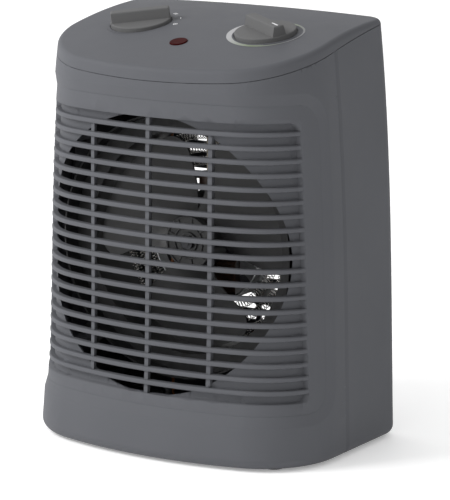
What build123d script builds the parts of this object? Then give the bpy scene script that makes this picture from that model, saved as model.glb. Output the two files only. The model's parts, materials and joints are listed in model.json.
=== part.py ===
from build123d import *
import os
from math import asin, atan2, cos, degrees, hypot, radians, sin, sqrt

# Tabletop fan heater: an upright housing with a horizontally slatted outlet, a sloping
# control top, a round heater and fan duct, and an intake grille at the back.
# Frame: +X right, +Y to the back, +Z up, origin on the table under the housing's middle.

os.makedirs("parts", exist_ok=True)

# ---- housing, driving sizes (mm) ----
WIDTH = 265.8                 # across the base
DEPTH = 176.8                 # front to back at the base
HEIGHT = 337.0                # table to the top surface at the back
FOOT_HEIGHT = 1.5
MID_LEVEL = 169.5             # level of the middle section
BROW_DROP = 47.0              # top surface to the section under the control top
MID_NARROW = 4.4              # each side stands in by this at the middle section
BROW_NARROW = 11.4            # by this at the brow
TOP_NARROW = 17.0             # and by this at the top of the housing
MID_LEAN = 8.25               # the nose stands back by this at the middle section
BROW_LEAN = 10.9              # by this at the brow
TOP_LEAN = 15.4               # and by this at the top
NOSE_RADIUS = 326.1           # wide arc of the front, seen from above
CORNER_RADIUS = 67.65         # front corners, seen from above
BACK_CORNER_RADIUS = 15.0
BASE_EDGE_RADIUS = 8.0
SKIN = 2.6                    # moulded wall
SEAM_DEPTH = 92.4             # front of the base to the seam between the two shells
SEAM_GAP = 0.5
SEAM_CHAMFER_LONG = 4.6
SEAM_CHAMFER_DEEP = 1.3
LIP = 2.0                     # hidden lips behind the seams
LIP_REACH = 4.0
FIT = 0.3                     # general clearance between moulded pieces

# ---- control top ----
TOP_DROP_FRONT = 29.3         # top surface below HEIGHT near the nose
TOP_DROP_MID = 8.7            # and above the seam between the shells
TOP_CROWN_RADIUS = 2900.0     # side to side
COVER_BAND = 10.8             # side band of the cover at its middle
COVER_BAND_BACK = 6.4
COVER_BAND_FRONT = 9.8
COVER_EDGE_RADIUS = 4.5

# ---- slatted outlet ----
SLOT_COUNT = 21
SLOT_PITCH = 10.5
SLOT_HEIGHT = 6.7
SLOT_FIELD_BOTTOM = 52.0
PANEL_RECESS = 2.3            # slatted panel stands this far inside the skin
SLOT_DEPTH = 4.6              # groove floor behind the slat faces
GROOVE_WALL = 2.0
PANEL_MARGIN_TOP = 13.3       # panel edge above the top slot
PANEL_MARGIN_BOTTOM = 9.0
PANEL_BACK = 68.3             # front of the base to the panel's side edge
PANEL_EDGE_RADIUS = 18.0
SLOT_BACK = 52.6              # front of the base to the slots' ends
SLOT_END_RADIUS = 7.5
SLAT_SET_BACK = 0.2
SLAT_ROUND = 1.25
OUTLET_RADIUS = 110.0
RIB_WIDTH = 3.4
RIB_SPACING = 54.2
RIB_SET_BACK = 2.0

# ---- base, feet and shell screws ----
FLOOR_FLANGE = 24.0           # floor of the shells reaches in this far
BASE_PLATE_INSET = 12.0
BASE_PLATE_THICKNESS = 2.5
FOOT_RADIUS = 9.0
FOOT_STEM_RADIUS = 3.0
FRONT_FEET = (98.0, 40.4)     # from the middle, and from the front of the base
BACK_FEET = (112.0, 22.4)     # from the middle, and from the back
FRONT_BASE_SCREWS = (78.0, 27.4)
BACK_BASE_SCREWS = (80.0, 17.0)
BASE_SCREW_RADIUS = 1.7
BOSS_RADIUS = 5.2
BOSS_INSET = 16.0             # shell screws stand in from the side walls
BOSS_LENGTH = 15.0
SHELL_SCREW_RADIUS = 1.75
SHELL_SCREW_LENGTH = 20.0
SHELL_HEAD_RADIUS = 3.6
LOW_SCREW_LEVEL = 24.0
HIGH_SCREW_DROP = 60.0
THREAD_FIT = 0.06             # shown between a thread and its hole

# ---- back of the housing ----
INTAKE_RADIUS = 88.0
INTAKE_PITCH = 9.0
INTAKE_SLOT = 4.6
INTAKE_BAR = 4.0
INTAKE_COLUMN = 42.0
GRIP_WIDTH = 116.0
GRIP_HEIGHT = 25.0
GRIP_DEPTH = 26.0
GRIP_DROP = 50.0              # top surface to the middle of the carrying grip
GRIP_WALL = 2.2
CORD_X = 70.0
CORD_LEVEL = 36.0
CORD_BORE_RADIUS = 4.0
BUSHING_RADIUS = 7.0
BUSHING_FLANGE = 9.0
BUSHING_RECESS = 1.6

# ---- knobs, switch and thermostat ----
KNOB_SPREAD = 116.0
KNOB_BACK = 91.3              # front of the base to the knob centres
KNOB_RADIUS = 24.25
KNOB_GAP = 0.8
KNOB_WELL = 1.2
KNOB_DISC = 3.0
KNOB_GRIP_HEIGHT = 11.0
KNOB_GRIP_BASE = 13.0
KNOB_GRIP_TOP = 8.0
FUNCTION_ANGLE = 34.0
THERMOSTAT_ANGLE = -30.0
SHAFT_RADIUS = 3.0
RUNNING_FIT = 0.05
LAMP_RADIUS = 7.15
LAMP_BACK = 57.4

# ---- fan, motor, duct and heater ----
FAN_RADIUS = 85.0
FAN_CLEARANCE = 4.0
HUB_RADIUS = 22.0
HUB_LENGTH = 23.0
HUB_FRONT = 71.0              # front of the base to the hub's face
BLADE_COUNT = 3
BLADE_THICKNESS = 1.8
MOTOR_SHAFT_RADIUS = 2.5
STACK_LENGTH = 18.0
STACK_WIDTH = 64.0
ROTOR_RADIUS = 16.0
AIR_GAP = 0.4
DUCT_WALL = 1.5
DUCT_RADIUS = 104.0
DUCT_FRONT = 50.4             # front of the base to the duct's front edge
BOARD_THICKNESS = 1.0
BOARD_FRONT = 97.9
BOARD_DEPTH = 16.0
COIL_RADIUS = 4.0             # radius of the wound wire's own turns
COIL_RINGS = (60.0, 70.5, 81.0)
SLEEVE_RADIUS = 52.0          # heat shield round the front of the motor
SLEEVE_WALL = 0.8
SLEEVE_DEPTH = 11.0

# ---- worked out from the values above ----
FRONT = -DEPTH / 2
BACK = DEPTH / 2
SEAM = FRONT + SEAM_DEPTH
BODY_TOP = HEIGHT + 7.0
SLAT_HEIGHT = SLOT_PITCH - SLOT_HEIGHT
SLOT_FIELD_TOP = SLOT_FIELD_BOTTOM + (SLOT_COUNT - 1) * SLOT_PITCH + SLOT_HEIGHT
FAN_HEIGHT = (SLOT_FIELD_BOTTOM + SLOT_FIELD_TOP) / 2
GROOVE_FLOOR = PANEL_RECESS + SLOT_DEPTH
GROOVE_BACK = GROOVE_FLOOR + GROOVE_WALL
LEVELS = (FOOT_HEIGHT, MID_LEVEL, HEIGHT - BROW_DROP, BODY_TOP)
HALF_WIDTHS = [WIDTH / 2 - narrow for narrow in (0.0, MID_NARROW, BROW_NARROW, TOP_NARROW)]
NOSES = [-FRONT - lean for lean in (0.0, MID_LEAN, BROW_LEAN, TOP_LEAN)]
FAR = 2 * (WIDTH + DEPTH + HEIGHT)


def through_levels(values, z):
    """Smooth curve through one value at each section level, read at z."""
    total = 0.0
    for level, value in zip(LEVELS, values):
        for other in LEVELS:
            if other != level:
                value = value * (z - other) / (level - other)
        total = total + value
    return total


def plan_points(half_width, nose, inset):
    """Tangent points of the plan outline's right half, front to back."""
    reach = NOSE_RADIUS - CORNER_RADIUS
    corner_x = half_width - CORNER_RADIUS
    nose_y = NOSE_RADIUS - nose
    corner_y = nose_y - sqrt(reach**2 - corner_x**2)
    scale = (NOSE_RADIUS - inset) / reach
    join = (corner_x * scale, nose_y + (corner_y - nose_y) * scale)
    side = (half_width - inset, corner_y)
    half_turn = atan2(join[1] - corner_y, join[0] - corner_x) / 2
    corner_mid = (
        corner_x + (CORNER_RADIUS - inset) * cos(half_turn),
        corner_y + (CORNER_RADIUS - inset) * sin(half_turn),
    )
    return (0.0, inset - nose), join, corner_mid, side


def plan_section(z, inset):
    """Closed outline of the housing at one level, pulled in by inset."""
    half_width = through_levels(HALF_WIDTHS, z)
    tip, join, corner_mid, side = plan_points(half_width, through_levels(NOSES, z), inset)
    back_radius = max(BACK_CORNER_RADIUS - inset, 1.0)
    back = BACK - inset
    wall = half_width - inset
    bend = back_radius * (1 - cos(radians(45)))
    with BuildSketch(Plane.XY.offset(z)) as section:
        with BuildLine():
            ThreePointArc((-join[0], join[1]), tip, join)
            ThreePointArc(join, corner_mid, side)
            Line(side, (wall, back - back_radius))
            ThreePointArc(
                (wall, back - back_radius), (wall - bend, back - bend), (wall - back_radius, back)
            )
            Line((wall - back_radius, back), (back_radius - wall, back))
            ThreePointArc(
                (back_radius - wall, back), (bend - wall, back - bend), (-wall, back - back_radius)
            )
            Line((-wall, back - back_radius), (-side[0], side[1]))
            ThreePointArc((-side[0], side[1]), (-corner_mid[0], corner_mid[1]), (-join[0], join[1]))
        make_face()
    return section.sketch


def housing_block(inset):
    """Solid inside the housing's side walls, pulled in by inset."""
    with BuildPart() as block:
        for level in LEVELS:
            add(plan_section(level, inset))
        loft()
    return block.part


def side_region(points, close_to):
    """Solid across the whole width whose side view is bounded by an arc and a far level."""
    (front_y, front_z), mid, (back_y, back_z) = points
    with BuildPart() as region:
        with BuildSketch(Plane.YZ):
            with BuildLine():
                ThreePointArc((front_y, front_z), mid, (back_y, back_z))
                Line((back_y, back_z), (back_y, close_to))
                Line((back_y, close_to), (front_y, close_to))
                Line((front_y, close_to), (front_y, front_z))
            make_face()
        extrude(amount=WIDTH, both=True)
    return region.part


def side_prism(front_y, back_y, low_z, high_z, radius):
    """Solid across the whole width with a rounded rectangle as its side view."""
    with BuildPart() as prism:
        with BuildSketch(Plane.YZ):
            with Locations(((front_y + back_y) / 2, (low_z + high_z) / 2)):
                RectangleRounded(back_y - front_y, high_z - low_z, radius)
        extrude(amount=WIDTH, both=True)
    return prism.part


def arc_through(first, second, third):
    """Centre and radius of the side-view circle through three points."""
    (ax, ay), (bx, by), (cx, cy) = first, second, third
    d = 2 * (ax * (by - cy) + bx * (cy - ay) + cx * (ay - by))
    ux = (ax**2 + ay**2) * (by - cy) + (bx**2 + by**2) * (cy - ay) + (cx**2 + cy**2) * (ay - by)
    uy = (ax**2 + ay**2) * (cx - bx) + (bx**2 + by**2) * (ax - cx) + (cx**2 + cy**2) * (bx - ax)
    centre = (ux / d, uy / d)
    return centre, hypot(ax - centre[0], ay - centre[1])


# ---- the sloping top surface and the seam under the cover, as arcs in side view ----
top_nose = FRONT + TOP_LEAN
TOP_POINTS = (
    (top_nose, HEIGHT - TOP_DROP_FRONT),
    (SEAM - 3.0, HEIGHT - TOP_DROP_MID),
    (BACK - 12.0, HEIGHT),
)
SEAM_POINTS = (
    (top_nose, HEIGHT - TOP_DROP_FRONT - COVER_BAND_FRONT),
    (SEAM - 3.0, HEIGHT - TOP_DROP_MID - COVER_BAND),
    (BACK - 12.0, HEIGHT - COVER_BAND_BACK),
)
TOP_CENTRE, TOP_RADIUS = arc_through(*TOP_POINTS)
SEAM_CENTRE, SEAM_RADIUS = arc_through(*SEAM_POINTS)


def on_arc(centre, radius, y):
    return centre[1] + sqrt(radius**2 - (y - centre[0]) ** 2)


def arc_region(centre, radius, shift, close_to):
    """Side-view region bounded by one of the two arcs, moved up or down by shift."""
    ends = (FRONT - 30.0, 0.0, BACK + 30.0)
    points = [(y, on_arc(centre, radius, y) + shift) for y in ends]
    return side_region(points, close_to)


def crowned_region(shift):
    """Everything under the control top's surface, which falls a little to both sides."""
    pivot = HEIGHT - TOP_CROWN_RADIUS
    ends = (FRONT - 30.0, 0.0, BACK + 30.0)
    points = [(y, on_arc(TOP_CENTRE, TOP_RADIUS, y) + shift) for y in ends]
    low = HEIGHT / 3
    half_turn = degrees(asin(0.75 * WIDTH / TOP_CROWN_RADIUS))
    axis = Axis((0, 0, pivot), (0, 1, 0))
    with BuildPart() as region:
        with BuildSketch(Plane.YZ):
            with BuildLine():
                ThreePointArc(points[0], points[1], points[2])
                Line(points[2], (points[2][0], low))
                Line((points[2][0], low), (points[0][0], low))
                Line((points[0][0], low), points[0])
            make_face()
        revolve(axis=axis, revolution_arc=2 * half_turn)
    return region.part.rotate(axis, -half_turn)


def save(part, name):
    part.label = name
    export_step(part, "parts/" + name + ".step")


FLOOR_TOP = FOOT_HEIGHT + SKIN
SCREW_LEVELS = (LOW_SCREW_LEVEL, HEIGHT - HIGH_SCREW_DROP)
SHELL_SCREWS = [
    (side * (through_levels(HALF_WIDTHS, z) - BOSS_INSET), z) for z in SCREW_LEVELS for side in (-1, 1)
]
FEET = [(side * FRONT_FEET[0], FRONT + FRONT_FEET[1]) for side in (-1, 1)]
FEET += [(side * BACK_FEET[0], BACK - BACK_FEET[1]) for side in (-1, 1)]
BASE_SCREWS = [(side * FRONT_BASE_SCREWS[0], FRONT + FRONT_BASE_SCREWS[1]) for side in (-1, 1)]
BASE_SCREWS += [(side * BACK_BASE_SCREWS[0], BACK - BACK_BASE_SCREWS[1]) for side in (-1, 1)]


def rod(x, z, low_y, high_y, radius):
    """Round bar along Y."""
    place = Plane((x, low_y, z), x_dir=(1, 0, 0), z_dir=(0, 1, 0)).location
    ends = (Align.CENTER, Align.CENTER, Align.MIN)
    return place * Cylinder(radius, high_y - low_y, align=ends, mode=Mode.PRIVATE)


def post(x, y, low_z, high_z, radius):
    """Round bar along Z."""
    ends = (Align.CENTER, Align.CENTER, Align.MIN)
    return Pos(x, y, low_z) * Cylinder(radius, high_z - low_z, align=ends, mode=Mode.PRIVATE)


def slab(low, high):
    """Box between two opposite corners."""
    size = [top - bottom for bottom, top in zip(low, high)]
    return Pos(*low) * Box(*size, align=(Align.MIN, Align.MIN, Align.MIN), mode=Mode.PRIVATE)


def turned(points, x=0.0, z=FAN_HEIGHT):
    """Piece turned about a line along Y, from (y, radius) points."""
    with BuildPart() as piece:
        with BuildSketch(Plane((x, 0, z), x_dir=(0, 1, 0), z_dir=(1, 0, 0))):
            with BuildLine():
                Polyline(*points, close=True)
            make_face()
        revolve(axis=Axis((x, 0, z), (0, 1, 0)))
    return piece.part


def hollow(block):
    """The space above the floor inside a pulled-in block, with its bottom edge rounded."""
    with BuildPart() as space:
        add(block)
        add(slab((-FAR, -FAR, FLOOR_TOP), (FAR, FAR, FAR)), mode=Mode.INTERSECT)
        fillet(space.faces().sort_by(Axis.Z)[0].edges(), BASE_EDGE_RADIUS - SKIN)
    return space.part


# ---- blocks that the shells are cut from ----
outer_block = housing_block(0.0)
skin_space = hollow(housing_block(SKIN))
panel_block = housing_block(PANEL_RECESS)
panel_space = hollow(housing_block(PANEL_RECESS + SKIN))
groove_block = housing_block(GROOVE_FLOOR)
groove_space = hollow(housing_block(GROOVE_BACK))
lip_inside = housing_block(SKIN + FIT + LIP)
lip_block = housing_block(SKIN + FIT) - lip_inside
lip_root_block = housing_block(SKIN / 2) - lip_inside
under_seam = arc_region(SEAM_CENTRE, SEAM_RADIUS, -SEAM_GAP / 2, 0.0)
over_seam = arc_region(SEAM_CENTRE, SEAM_RADIUS, SEAM_GAP / 2, HEIGHT + 60.0)
floor_opening = extrude(plan_section(0.0, FLOOR_FLANGE), FLOOR_TOP + 1.0)
ahead_of_seam = slab((-FAR, -FAR, -FAR), (FAR, SEAM - SEAM_GAP / 2, FAR))
behind_seam = slab((-FAR, SEAM + SEAM_GAP / 2, -FAR), (FAR, FAR, FAR))

with BuildPart() as based_block:
    add(outer_block)
    fillet(based_block.faces().sort_by(Axis.Z)[0].edges(), BASE_EDGE_RADIUS)
    add(under_seam, mode=Mode.INTERSECT)

# ---- front shell: skin, recessed panel, grooves, slats and the round outlet ----
PANEL_LOW = SLOT_FIELD_BOTTOM - PANEL_MARGIN_BOTTOM
PANEL_HIGH = SLOT_FIELD_TOP + PANEL_MARGIN_TOP
PANEL_END = FRONT + PANEL_BACK
SLOT_END = FRONT + SLOT_BACK
AHEAD = FRONT - 40.0
COLUMN_FRONT = SEAM + SEAM_GAP / 2
HEAD_SEAT = COLUMN_FRONT + 8.0
DUCT_Y = FRONT + DUCT_FRONT
POST_CIRCLE = OUTLET_RADIUS + 6.0
POST_RADIUS = 4.0
EAR_THICKNESS = 2.0
EAR_SCREW_RADIUS = 1.4
EAR_SCREW_LENGTH = 12.0


def grown_prism(end_y, low_z, high_z, radius, grow):
    return side_prism(AHEAD, end_y + grow, low_z - grow, high_z + grow, radius + grow)


def diagonal_places(radius):
    """Four places on a circle round the fan axis, as (x, z)."""
    reach = radius * cos(radians(45))
    return [(x * reach, FAN_HEIGHT + z * reach) for x in (-1, 1) for z in (-1, 1)]


def slat(z):
    """One slat, swept round the front from slot end to slot end."""
    inset = PANEL_RECESS + SLAT_SET_BACK
    depth = GROOVE_FLOOR + GROOVE_WALL / 3 - inset
    half_width = through_levels(HALF_WIDTHS, z)
    tip, join, _, side = plan_points(half_width, through_levels(NOSES, z), inset)
    centre_x = half_width - CORNER_RADIUS
    reach = CORNER_RADIUS - inset
    turn = asin((SLOT_END + GROOVE_WALL / 2 - side[1]) / reach)
    half = (turn + atan2(join[1] - side[1], join[0] - centre_x)) / 2
    start = (centre_x + reach * cos(turn), side[1] + reach * sin(turn))
    middle = (centre_x + reach * cos(half), side[1] + reach * sin(half))
    across = Plane((*start, z), x_dir=(-cos(turn), -sin(turn), 0), z_dir=(sin(turn), -cos(turn), 0))
    with BuildPart() as piece:
        with BuildLine(Plane.XY.offset(z)):
            ThreePointArc(start, middle, join)
            ThreePointArc(join, tip, (-join[0], join[1]))
            ThreePointArc((-join[0], join[1]), (-middle[0], middle[1]), (-start[0], start[1]))
        with BuildSketch(across):
            with Locations((depth / 2, 0)):
                Rectangle(depth, SLAT_HEIGHT)
            with Locations((SLAT_ROUND / 2, 0)):
                Rectangle(SLAT_ROUND, SLAT_HEIGHT, mode=Mode.SUBTRACT)
            with Locations((SLAT_ROUND, 0)):
                SlotCenterToCenter(SLAT_HEIGHT - 2 * SLAT_ROUND, 2 * SLAT_ROUND, rotation=90)
        sweep()
    return piece.part


def side_of(x):
    return 1 if x > 0 else -1


def screw_boss(x, z):
    """Blind boss for a shell screw, tied to the side wall by a web short of the seam's lip."""
    front = SEAM - BOSS_LENGTH
    wall_x = x + side_of(x) * BOSS_INSET
    web_end = SEAM - LIP_REACH - 2 * FIT
    web = slab((min(x, wall_x), front, z - LIP / 2), (max(x, wall_x), web_end, z + LIP / 2))
    return rod(x, z, front, SEAM - SEAM_GAP / 2, BOSS_RADIUS) + (web & housing_block(SKIN / 2))


floor_holes = [post(x, y, -1.0, FLOOR_TOP + 1.0, FOOT_STEM_RADIUS + FIT / 3) for x, y in FEET]
for x, y in BASE_SCREWS:
    floor_holes.append(post(x, y, -1.0, FLOOR_TOP + 1.0, BASE_SCREW_RADIUS + FIT))
    sink = Cone(BASE_SCREW_RADIUS * 2 + FIT, BASE_SCREW_RADIUS, BASE_SCREW_RADIUS + FIT, mode=Mode.PRIVATE)
    floor_holes.append(Pos(x, y, FOOT_HEIGHT + BASE_SCREW_RADIUS / 2 + FIT / 2) * sink)

panel_cut = grown_prism(PANEL_END, PANEL_LOW, PANEL_HIGH, PANEL_EDGE_RADIUS, 0.0) - panel_block
slot_field = grown_prism(SLOT_END, SLOT_FIELD_BOTTOM, SLOT_FIELD_TOP, SLOT_END_RADIUS, 0.0)
panel_keep = grown_prism(PANEL_END, PANEL_LOW, PANEL_HIGH, PANEL_EDGE_RADIUS, SKIN)
groove_keep = grown_prism(SLOT_END, SLOT_FIELD_BOTTOM, SLOT_FIELD_TOP, SLOT_END_RADIUS, GROOVE_WALL)
outlet = rod(0, FAN_HEIGHT, AHEAD, SLOT_END, OUTLET_RADIUS)
outlet &= slab((-FAR, -FAR, SLOT_FIELD_BOTTOM), (FAR, FAR, SLOT_FIELD_TOP))
rib_block = housing_block(PANEL_RECESS + RIB_SET_BACK) - housing_block(GROOVE_BACK - GROOVE_WALL / 4)
rib_low = SLOT_FIELD_BOTTOM - GROOVE_WALL / 2
rib_high = SLOT_FIELD_TOP + GROOVE_WALL / 2
rib_block &= rod(0, FAN_HEIGHT, AHEAD, SLOT_END, OUTLET_RADIUS + GROOVE_WALL)
ribs = [
    rib_block
    & slab((x - RIB_WIDTH / 2, AHEAD, rib_low), (x + RIB_WIDTH / 2, SLOT_END, rib_high))
    for x in (-RIB_SPACING, 0.0, RIB_SPACING)
]
slats = [
    slat(SLOT_FIELD_BOTTOM + SLOT_HEIGHT + SLAT_HEIGHT / 2 + row * SLOT_PITCH)
    for row in range(SLOT_COUNT - 1)
]
post_limit = housing_block(GROOVE_FLOOR + GROOVE_WALL / 4)
duct_posts = [rod(x, z, AHEAD, DUCT_Y, POST_RADIUS) & post_limit for x, z in diagonal_places(POST_CIRCLE)]

with BuildPart() as front_shell:
    add(based_block.part)
    add(ahead_of_seam, mode=Mode.INTERSECT)
    add(panel_cut, mode=Mode.SUBTRACT)
    add(slot_field - groove_block, mode=Mode.SUBTRACT)
    add(groove_space, mode=Mode.SUBTRACT)
    add(panel_space - groove_keep, mode=Mode.SUBTRACT)
    add(skin_space - panel_keep, mode=Mode.SUBTRACT)
    add(floor_opening, mode=Mode.SUBTRACT)
    add(outlet, mode=Mode.SUBTRACT)
    add(duct_posts + ribs + slats)
    for x, z in diagonal_places(POST_CIRCLE):
        pilot = rod(x, z, DUCT_Y - EAR_SCREW_LENGTH, DUCT_Y + 1.0, EAR_SCREW_RADIUS + THREAD_FIT)
        add(pilot, mode=Mode.SUBTRACT)
    add([screw_boss(x, z) for x, z in SHELL_SCREWS])
    for x, z in SHELL_SCREWS:
        pilot = rod(x, z, HEAD_SEAT - SHELL_SCREW_LENGTH - 1.0, SEAM + 1.0, SHELL_SCREW_RADIUS + THREAD_FIT)
        add(pilot, mode=Mode.SUBTRACT)
    add(floor_holes, mode=Mode.SUBTRACT)
save(front_shell.part, "front_shell")

# ---- rear shell: intake slots, carrying grip, screw columns and the cord hole ----
SCREW_HOLE_RADIUS = SHELL_SCREW_RADIUS + 0.25
HEAD_HOLE_RADIUS = SHELL_HEAD_RADIUS + 0.3
grip_z = HEIGHT - GRIP_DROP
grip_low = (-GRIP_WIDTH / 2, BACK - GRIP_DEPTH, grip_z - GRIP_HEIGHT / 2)
grip_high = (GRIP_WIDTH / 2, BACK + 10.0, grip_z + GRIP_HEIGHT / 2)
grip_pocket = slab(grip_low, grip_high)
grip_walls = slab(
    [value - GRIP_WALL for value in grip_low],
    (grip_high[0] + GRIP_WALL, BACK - SKIN / 2, grip_high[2] + GRIP_WALL),
)
lip_limit = arc_region(SEAM_CENTRE, SEAM_RADIUS, -LIP_REACH - 4 * FIT, 0.0)
lip_limit -= slab((-FAR, -FAR, -FAR), (FAR, FAR, FLOOR_TOP + SKIN))
lip_tongue = slab((-FAR, SEAM - LIP_REACH, -FAR), (FAR, SEAM + LIP_REACH, FAR))
lip_root = slab((-FAR, SEAM + SKIN, -FAR), (FAR, SEAM + LIP_REACH, FAR))
cord_hole = rod(CORD_X, CORD_LEVEL, BACK - 2 * SKIN, BACK + 1.0, BUSHING_RADIUS + FIT / 3)
bushing_recess = rod(CORD_X, CORD_LEVEL, BACK - BUSHING_RECESS, BACK + 1.0, BUSHING_FLANGE + FIT)


def intake_slots():
    """Cutter for the rows of slots in the back wall."""
    rows = int(INTAKE_RADIUS // INTAKE_PITCH)
    with BuildPart() as cutter:
        with BuildSketch(Plane((0, BACK - SKIN - 1.0, FAN_HEIGHT), x_dir=(-1, 0, 0), z_dir=(0, 1, 0))):
            for row in range(-rows, rows + 1):
                chord = sqrt(INTAKE_RADIUS**2 - (row * INTAKE_PITCH) ** 2)
                ends = [0.0] + [INTAKE_COLUMN * n for n in (1, 2, 3) if INTAKE_COLUMN * n < chord - 15.0]
                ends.append(chord + INTAKE_BAR / 2)
                for near, far in zip(ends, ends[1:]):
                    middle = (near + far) / 2
                    with Locations((middle, row * INTAKE_PITCH), (-middle, row * INTAKE_PITCH)):
                        SlotOverall(far - near - INTAKE_BAR, INTAKE_SLOT)
        extrude(amount=SKIN + 2.0)
    return cutter.part


with BuildPart() as rear_shell:
    add(based_block.part)
    add(behind_seam, mode=Mode.INTERSECT)
    seam_face = rear_shell.faces().sort_by(Axis.Y)[0]
    seam_edges = seam_face.edges().sort_by(Axis.Z)[:-1]
    chamfer(seam_edges, SEAM_CHAMFER_DEEP, SEAM_CHAMFER_LONG, reference=seam_face)
    add(skin_space, mode=Mode.SUBTRACT)
    add(lip_block & lip_limit & lip_tongue)
    add(lip_root_block & lip_limit & lip_root)
    add(grip_walls)
    add(grip_pocket, mode=Mode.SUBTRACT)
    add(floor_opening, mode=Mode.SUBTRACT)
    add(intake_slots(), mode=Mode.SUBTRACT)
    add([rod(x, z, COLUMN_FRONT, BACK - SKIN / 2, BOSS_RADIUS) for x, z in SHELL_SCREWS])
    for x, z in SHELL_SCREWS:
        add(rod(x, z, COLUMN_FRONT - 1.0, BACK + 1.0, SCREW_HOLE_RADIUS), mode=Mode.SUBTRACT)
        add(rod(x, z, HEAD_SEAT, BACK + 1.0, HEAD_HOLE_RADIUS), mode=Mode.SUBTRACT)
    add(cord_hole + bushing_recess, mode=Mode.SUBTRACT)
    add(floor_holes, mode=Mode.SUBTRACT)
save(rear_shell.part, "rear_shell")


# ---- control top: cover, knobs, switch, thermostat and pilot lamp ----
def control_plane(x, y):
    """Plane on the control top's surface, its normal along a control's shaft."""
    lean = (y - TOP_CENTRE[0]) / TOP_RADIUS
    z = on_arc(TOP_CENTRE, TOP_RADIUS, y) - x**2 / (2 * TOP_CROWN_RADIUS)
    return Plane((x, y, z), x_dir=(1, 0, 0), z_dir=(0, lean, sqrt(1 - lean**2)))


def along(plane, x, y, low, high, radius):
    """Round bar along a control plane's normal."""
    ends = (Align.CENTER, Align.CENTER, Align.MIN)
    bar = Cylinder(radius, high - low, align=ends, mode=Mode.PRIVATE)
    return plane.location * Pos(x, y, low) * bar


def block_on(plane, size, centre):
    """Box square to a control plane."""
    return plane.location * Pos(*centre) * Box(*size, mode=Mode.PRIVATE)


KNOB_Y = FRONT + KNOB_BACK
KNOB_X = KNOB_SPREAD / 2
left_plane = control_plane(-KNOB_X, KNOB_Y)
right_plane = control_plane(KNOB_X, KNOB_Y)
shelf_plane = Plane((0, KNOB_Y, left_plane.origin.Z), x_dir=(1, 0, 0), z_dir=left_plane.z_dir)
lamp_plane = control_plane(0.0, FRONT + LAMP_BACK)

WELL_RADIUS = KNOB_RADIUS + KNOB_GAP
WELL_PAD = 4.0                # cover is this deep under a well
STEM_RADIUS = 5.2
STEM_END = -7.5
PLATE_TOP = -10.0             # control plate, below the top surface
PLATE_THICKNESS = 1.2
PLATE_SIZE = (156.0, 38.0)
PLATE_POSTS = [(-30.0, -13.0), (-30.0, 13.0), (30.0, -13.0), (30.0, 13.0)]
PLATE_SCREW_RADIUS = 1.35
BUSH_RADIUS = 4.6
BUSH_TOP = -8.3
LAMP_FLANGE = 1.6

with BuildPart() as top_cover:
    add(outer_block)
    add(crowned_region(0.0), mode=Mode.INTERSECT)
    fillet(top_cover.faces().sort_by(Axis.Z)[-1].edges(), COVER_EDGE_RADIUS)
    add(over_seam, mode=Mode.INTERSECT)
    add(housing_block(SKIN) & crowned_region(-SKIN), mode=Mode.SUBTRACT)
    add((lip_block & crowned_region(-SKIN / 2)) - arc_region(SEAM_CENTRE, SEAM_RADIUS, -LIP_REACH, 0.0))
    for plane in (left_plane, right_plane):
        add(along(plane, 0, 0, -WELL_PAD, -KNOB_WELL / 2, WELL_RADIUS + SKIN))
    for x, y in PLATE_POSTS:
        add(along(shelf_plane, x, y, PLATE_TOP, -KNOB_WELL, POST_RADIUS))
    for plane in (left_plane, right_plane):
        add(along(plane, 0, 0, -KNOB_WELL, FAR, WELL_RADIUS), mode=Mode.SUBTRACT)
        add(along(plane, 0, 0, -FAR / 10, 1.0, STEM_RADIUS + 2 * FIT), mode=Mode.SUBTRACT)
    for x, y in PLATE_POSTS:
        pilot = along(shelf_plane, x, y, PLATE_TOP - 1.0, -SKIN - 1.0, PLATE_SCREW_RADIUS + THREAD_FIT)
        add(pilot, mode=Mode.SUBTRACT)
    add(along(lamp_plane, 0, 0, -FAR / 10, FAR, LAMP_RADIUS + FIT / 3), mode=Mode.SUBTRACT)
save(top_cover.part, "top_cover")


def knob(plane, angle):
    """Round knob with a bar grip across it, its pointer end turned to angle."""
    turn = Rot(0, 0, angle)
    half = KNOB_RADIUS - KNOB_GAP
    with BuildPart() as piece:
        with BuildSketch(Plane.XY.offset(-KNOB_WELL + FIT)):
            Circle(KNOB_RADIUS)
        extrude(amount=KNOB_DISC + KNOB_WELL - FIT)
        fillet(piece.faces().sort_by(Axis.Z)[-1].edges(), 1.0)
        with BuildSketch(Plane.YZ.offset(-half)):
            with BuildLine():
                Polyline(
                    (-KNOB_GRIP_BASE / 2, 0),
                    (KNOB_GRIP_BASE / 2, 0),
                    (KNOB_GRIP_TOP / 2, KNOB_GRIP_HEIGHT),
                    (-KNOB_GRIP_TOP / 2, KNOB_GRIP_HEIGHT),
                    close=True,
                )
            make_face()
        extrude(amount=2 * half)
    grip_ends = post(0, 0, -SKIN, 2 * KNOB_GRIP_HEIGHT, half)
    solid = piece.part & (grip_ends + post(0, 0, -SKIN, KNOB_DISC, WELL_RADIUS))
    crest = solid.faces().sort_by(Axis.Z)[-1].edges()
    solid = solid.fillet(1.4, crest)
    solid += post(0, 0, STEM_END, 0.0, STEM_RADIUS)
    solid -= post(0, 0, STEM_END - 1.0, 0.0, SHAFT_RADIUS + FIT / 10)
    return plane.location * turn * solid


save(knob(left_plane, FUNCTION_ANGLE), "function_knob")
save(knob(right_plane, THERMOSTAT_ANGLE), "thermostat_knob")

SWITCH_SIZE = (32.0, 28.0, 17.0)
THERMOSTAT_SIZE = (30.0, 24.0, 9.0)
PLATE_BOTTOM = PLATE_TOP - PLATE_THICKNESS
SHAFT_TOP = -0.4


def shaft_on(plane, body_depth):
    return along(plane, 0, 0, PLATE_BOTTOM - body_depth + 2.0, SHAFT_TOP, SHAFT_RADIUS)


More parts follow.
